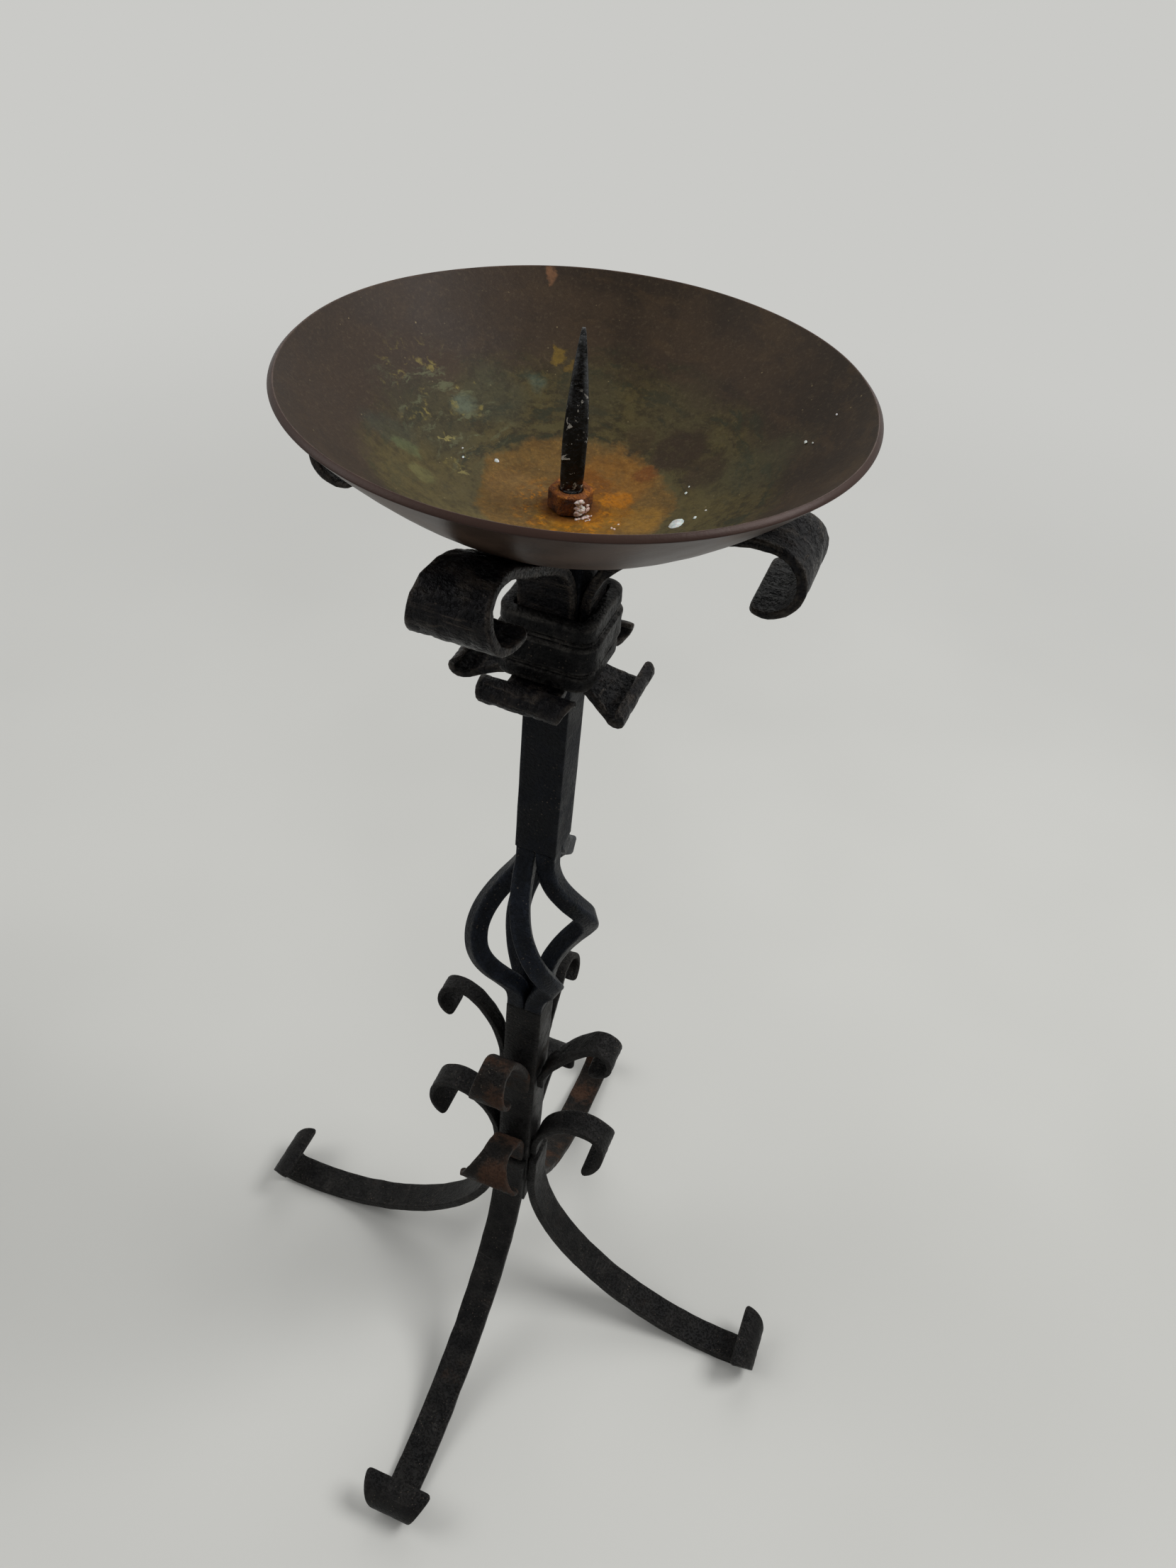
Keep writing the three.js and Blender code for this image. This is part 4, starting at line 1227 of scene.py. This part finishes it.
def collar_ring(wall, share, edge):
    """A rounded square round the four straps, at a share of the collar's height."""
    half, corner = collar_inside + wall, COLLAR_CORNER + wall
    height = collar_foot + COLLAR_HEIGHT * share
    ring = []
    for quarter in range(4):
        turn = Matrix.Rotation(math.radians(90 * quarter), 3, "Z")
        for i in range(COLLAR_CORNER_STEPS + 1):
            angle = math.radians(90 * i / COLLAR_CORNER_STEPS)
            outward = Vector((math.cos(angle), math.sin(angle), 0))
            point = Vector((half - corner, half - corner, 0)) + outward * corner
            ring.append((turn @ point + Vector((0, 0, height)), turn @ outward, edge))
        for i in range(1, COLLAR_SIDE_STEPS):
            across = (half - corner) * (1 - 2 * i / COLLAR_SIDE_STEPS)
            point = turn @ Vector((across, half, 0)) + Vector((0, 0, height))
            ring.append((point, turn @ Vector((0, 1, 0)), edge))
    return ring


def collar_rings():
    """The collar's section is the same above and below its middle: an edge, two grooves and the band."""
    wall, cut, bead = COLLAR_WALL, COLLAR_WALL - COLLAR_GROOVE, COLLAR_WALL + COLLAR_BEAD
    lower = [
        (0.0, wall - 1.3, 0.6), (0.012, wall - 0.4, 1.0), (0.035, wall, 0.7), (0.08, wall, 0.0),
        (0.125, wall, 0.0), (0.17, wall, 0.0), (0.2, wall, 0.5), (0.212, wall - 0.2, 1.0), (0.222, cut, 0.0),
        (0.246, cut, 0.0), (0.254, wall - 0.3, 0.9), (0.266, wall, 1.0), (0.278, wall - 0.3, 0.9),
        (0.286, cut, 0.0), (0.31, cut, 0.0), (0.32, bead - 0.4, 0.9), (0.334, bead, 1.0), (0.36, bead, 0.1),
        (0.41, bead - 0.1, 0.0), (0.46, bead - 0.15, 0.0),
    ]
    upper = [(1 - share, out, edge) for share, out, edge in reversed(lower)]
    rows = [(0.0, 0.0, 0.0)] + lower + upper + [(1.0, 0.0, 0.0), (0.5, 0.0, 0.0)]
    return [collar_ring(out, share, edge) for share, out, edge in rows]


forge(
    "strap_collar", collar_rings(), COLLAR_IRON_SHADE_AND_GLINT,
    seed=21, size=9, depth=0.4, sway=0.3, loop=True,
)


def scroll_strap_rings(form, seed):
    scroll, roll, over = form["scroll"], form["roll"], form["over"]
    slope = pan_slope(STRAP_BEARING_RADIUS)
    drop = PAN_WALL + GAP + STRAP_THICKNESS / 2
    bearing = Vector((
        STRAP_BEARING_RADIUS + drop * math.sin(slope),
        pan_floor + pan_rise(STRAP_BEARING_RADIUS) - drop * math.cos(slope),
    ))
    reach, rise = bearing.x - strap_radius, bearing.y - collar_head
    rising = math.degrees(slope)
    foot = Vector((strap_radius, collar_foot))
    base = straight([foot, foot + Vector((0, RUN_STEP))], COLLAR_HEIGHT - RUN_STEP)
    upward = base[:-1] + bend(
        (strap_radius, collar_head), 90, rise * STRAP_RISE_PULL, bearing, rising, reach * STRAP_REACH_PULL
    )
    levelled = curled(straight(upward, scroll["climb"]), -rising, scroll["lead"], scroll["lead"])
    crest = straight(levelled, scroll["reach"])
    curl = scroll["radius"] - STRAP_THICKNESS / 2
    scrolled = straight(curled(crest, -scroll["turn"], curl, curl * CURL_CLOSING), scroll.get("tail", 0))
    bent = curled(scrolled[::-1], 90 + roll["rise"], STRAP_ELBOW, STRAP_ELBOW)
    shelf = straight(bent, roll["shelf"])
    curl = roll["radius"] - STRAP_TIP_THICKNESS / 2
    return strap_rings(
        curled(shelf, roll["turn"], curl, curl * CURL_CLOSING),
        eased(
            POST_WIDTH + over, scroll["width"], FISHTAIL_LENGTH * scroll.get("flare", STRAP_FLARE),
            roll["width"], FISHTAIL_LENGTH,
        ),
        eased(STRAP_THICKNESS, STRAP_TIP_THICKNESS, FISHTAIL_LENGTH, STRAP_TIP_THICKNESS, FISHTAIL_LENGTH),
        eased(-over / 2, 0, FISHTAIL_LENGTH * STRAP_FLARE, 0, FISHTAIL_LENGTH / 2),
        form["turn"], seed, (6.0, 3.5),
    )


# ---------------------------------------------------------------- leaves and legs

leaf_radius = SHAFT_WIDTH / 2 + GAP + LEAF_THICKNESS / 2
leaf_width = SHAFT_WIDTH - LEAF_INSET
lower_leaf_foot = LEG_TOP + LOWER_LEAF_RISE
upper_leaf_foot = lower_leaf_foot + UPPER_LEAF_RISE
leg_radius = SHAFT_WIDTH / 2 + GAP + LEG_THICKNESS / 2
leg_width = SHAFT_WIDTH - LEG_INSET


def leaf_rings(foot, form, turn, seed):
    reach = LEAF_REACH - leaf_radius
    rise = form["height"] - LEAF_THICKNESS / 2
    pull, stem = form.get("pull", LOWER_LEAF_PULL), form.get("stem", leaf_width)
    start = straight([Vector((leaf_radius, foot)), Vector((leaf_radius, foot + 1))], rise * LEAF_FLAT - 1)
    run = start[:-1] + bend(
        (leaf_radius, foot + rise * LEAF_FLAT), 90, rise * pull, (LEAF_REACH, foot + rise), 0, reach * pull
    )
    curl = form["radius"] - LEAF_THICKNESS / 2
    return strap_rings(
        curled(run, -form["turn"], curl, curl * CURL_CLOSING),
        eased(stem, stem, 1, form["width"], FISHTAIL_LENGTH),
        eased(LEAF_THICKNESS, LEAF_THICKNESS, 1, LEAF_TIP_THICKNESS, FISHTAIL_LENGTH),
        eased(0, 0, 1, 0, 1), turn, seed, (1.5, 4.5),
    )


def leg_rings(width, turn, seed):
    half = LEG_THICKNESS / 2
    heel = FOOT_RADIUS - FOOT_FLAT
    drop = (LEG_BEND - half) * LEG_DROP_PULL
    reach = (heel - leg_radius) * LEG_REACH_PULL
    top = Vector((leg_radius, LEG_TOP))
    head = straight([top, top - Vector((0, 1))], LEG_TOP - LEG_BEND - 1)
    run = head[:-1] + bend((leg_radius, LEG_BEND), -90, drop, (heel, half), 0, reach)
    run = straight(run, FOOT_FLAT)
    return strap_rings(
        curled(run, FOOT_TURN, FOOT_CURL - half, FOOT_CURL - half),
        eased(leg_width, leg_width, 1, width, FOOT_FLARE),
        eased(LEG_THICKNESS, LEG_THICKNESS, 1, LEG_TIP_THICKNESS, FISHTAIL_LENGTH),
        eased(0, 0, 1, 0, 1), turn, seed, (2.0, 3.5),
    )


for number, (side_name, side_form) in enumerate(SIDES.items()):
    turned = side_form["turn"]
    seed = 30 + 10 * number  # each piece of a side has a seed of its own, counted on from this one
    leaf_iron = RUSTY_IRON if side_name == "front" else WORN_IRON
    forge(
        "scroll_strap_" + side_name, scroll_strap_rings(side_form, seed),
        STRAP_IRON, seed=seed, size=8, depth=0.85, sway=0.2,
    )
    forge(
        "basket_bar_" + side_name, basket_rings(side_form["basket"], turned),
        BASKET_IRON, seed=seed + 1, size=14, depth=0.3, sway=0.25,
    )
    forge(
        "upper_leaf_" + side_name, leaf_rings(upper_leaf_foot, side_form["upper"], turned, seed + 2),
        leaf_iron, seed=seed + 2, size=9, depth=0.45, sway=0.2,
    )
    forge(
        "lower_leaf_" + side_name, leaf_rings(lower_leaf_foot, side_form["lower"], turned, seed + 3),
        leaf_iron, seed=seed + 3, size=9, depth=0.45, sway=0.2,
    )
    forge(
        "leg_" + side_name, leg_rings(side_form["foot"], turned, seed + 4),
        RUSTY_IRON if side_name == "back" else WORN_IRON,
        seed=seed + 4, size=13, depth=0.35, sway=0.3,
    )

# ---------------------------------------------------------------- floor, light and camera


ROOM_TONE = srgb(202, 202, 199)
FLOOR_RADIUS = 14.0
FLOOR_SIDES = 64
FLOOR_FADE = (0.5, 2.6)  # metres from the axis between which the floor goes over into the room's tone


def pale_floor():
    """A pale floor that goes over into the even tone of the room away from the stand."""
    material, graph, shader = new_material("pale_floor")
    place = graph.place()
    cloud = graph.noise(place, 900, 3.0, 0.5)
    tone = graph.blend(graph.between(cloud, 0.3, 0.7), srgb(190, 190, 186), srgb(198, 198, 194))
    graph.feed(shader.inputs["Base Color"], tone)
    shader.inputs["Roughness"].default_value = 0.9
    shader.inputs["Specular IOR Level"].default_value = 0.1
    share = graph.times(graph.shown(), graph.between(graph.vector("LENGTH", place), *FLOOR_FADE))
    even = graph.add("ShaderNodeEmission", {"Color": ROOM_TONE, "Strength": 1.0})
    inputs = {0: share, 1: shader.outputs["BSDF"], 2: even.outputs["Emission"]}
    mixed = graph.add("ShaderNodeMixShader", inputs)
    graph.feed(graph.output.inputs["Surface"], mixed.outputs["Shader"])
    return material


def put(name, data):
    """An object with its data, in the scene."""
    holder = bpy.data.objects.new(name, data)
    bpy.context.scene.collection.objects.link(holder)
    return holder


floor_rim = []
for i in range(FLOOR_SIDES):
    angle = 2 * math.pi * i / FLOOR_SIDES
    floor_rim.append((FLOOR_RADIUS * math.cos(angle), FLOOR_RADIUS * math.sin(angle), 0))
floor_mesh = bpy.data.meshes.new("floor")
floor_mesh.from_pydata(floor_rim, [], [tuple(range(FLOOR_SIDES))])
floor_mesh.materials.append(pale_floor())
put("floor", floor_mesh)


def soft_lamp(name, place, size, power, aim=(0, 0, 0.6)):
    lamp = bpy.data.lights.new(name, "AREA")
    lamp.shape = "DISK"
    lamp.size = size
    lamp.energy = power
    holder = put(name, lamp)
    holder.location = place
    holder.rotation_euler = (Vector(aim) - Vector(place)).to_track_quat("-Z", "Y").to_euler()


soft_lamp("key_lamp", (1.5, 0.6, 2.6), 1.4, 46)
soft_lamp("fill_lamp", (-2.0, -0.6, 2.4), 1.8, 24)
soft_lamp("back_lamp", (-0.4, 2.2, 2.4), 2.0, 14)

world = bpy.data.worlds.new("pale_room")
world.use_nodes = True
bpy.context.scene.world = world
sky = Graph(world.node_tree)
world.node_tree.nodes.clear()
sky_light = sky.add("ShaderNodeBackground", {"Color": (1.0, 1.0, 1.0, 1.0), "Strength": 0.4})
sky_seen = sky.add("ShaderNodeBackground", {"Color": ROOM_TONE, "Strength": 1.0})
mixed = sky.add("ShaderNodeMixShader", {0: sky.shown(), 1: sky_light.outputs[0], 2: sky_seen.outputs[0]})
sky.add("ShaderNodeOutputWorld", {"Surface": mixed.outputs[0]})

# The camera looks down on the pan from a little over its rim, turned slightly on its side.
CAMERA_PLACE = Vector((0.1939, -0.5510, 1.1906))
CAMERA_FORWARD = Vector((-0.2138, 0.7076, -0.6735))
CAMERA_UP = Vector((-0.2987, 0.6091, 0.7347))
FOCAL_PIXELS = 1712
PHOTO_LONG_SIDE = 2212
SENSOR = 36.0

camera = bpy.data.cameras.new("camera")
camera.sensor_fit = "VERTICAL"
camera.sensor_height = SENSOR
camera.lens = FOCAL_PIXELS / PHOTO_LONG_SIDE * SENSOR
camera.clip_start = 0.02
backward = -CAMERA_FORWARD.normalized()
rightward = CAMERA_UP.cross(backward).normalized()
upward = backward.cross(rightward)
aimed = Matrix((rightward, upward, backward)).transposed().to_4x4()
camera_holder = put("camera", camera)
camera_holder.matrix_world = Matrix.Translation(CAMERA_PLACE) @ aimed
bpy.context.scene.camera = camera_holder

bpy.context.scene.view_settings.view_transform = "Standard"
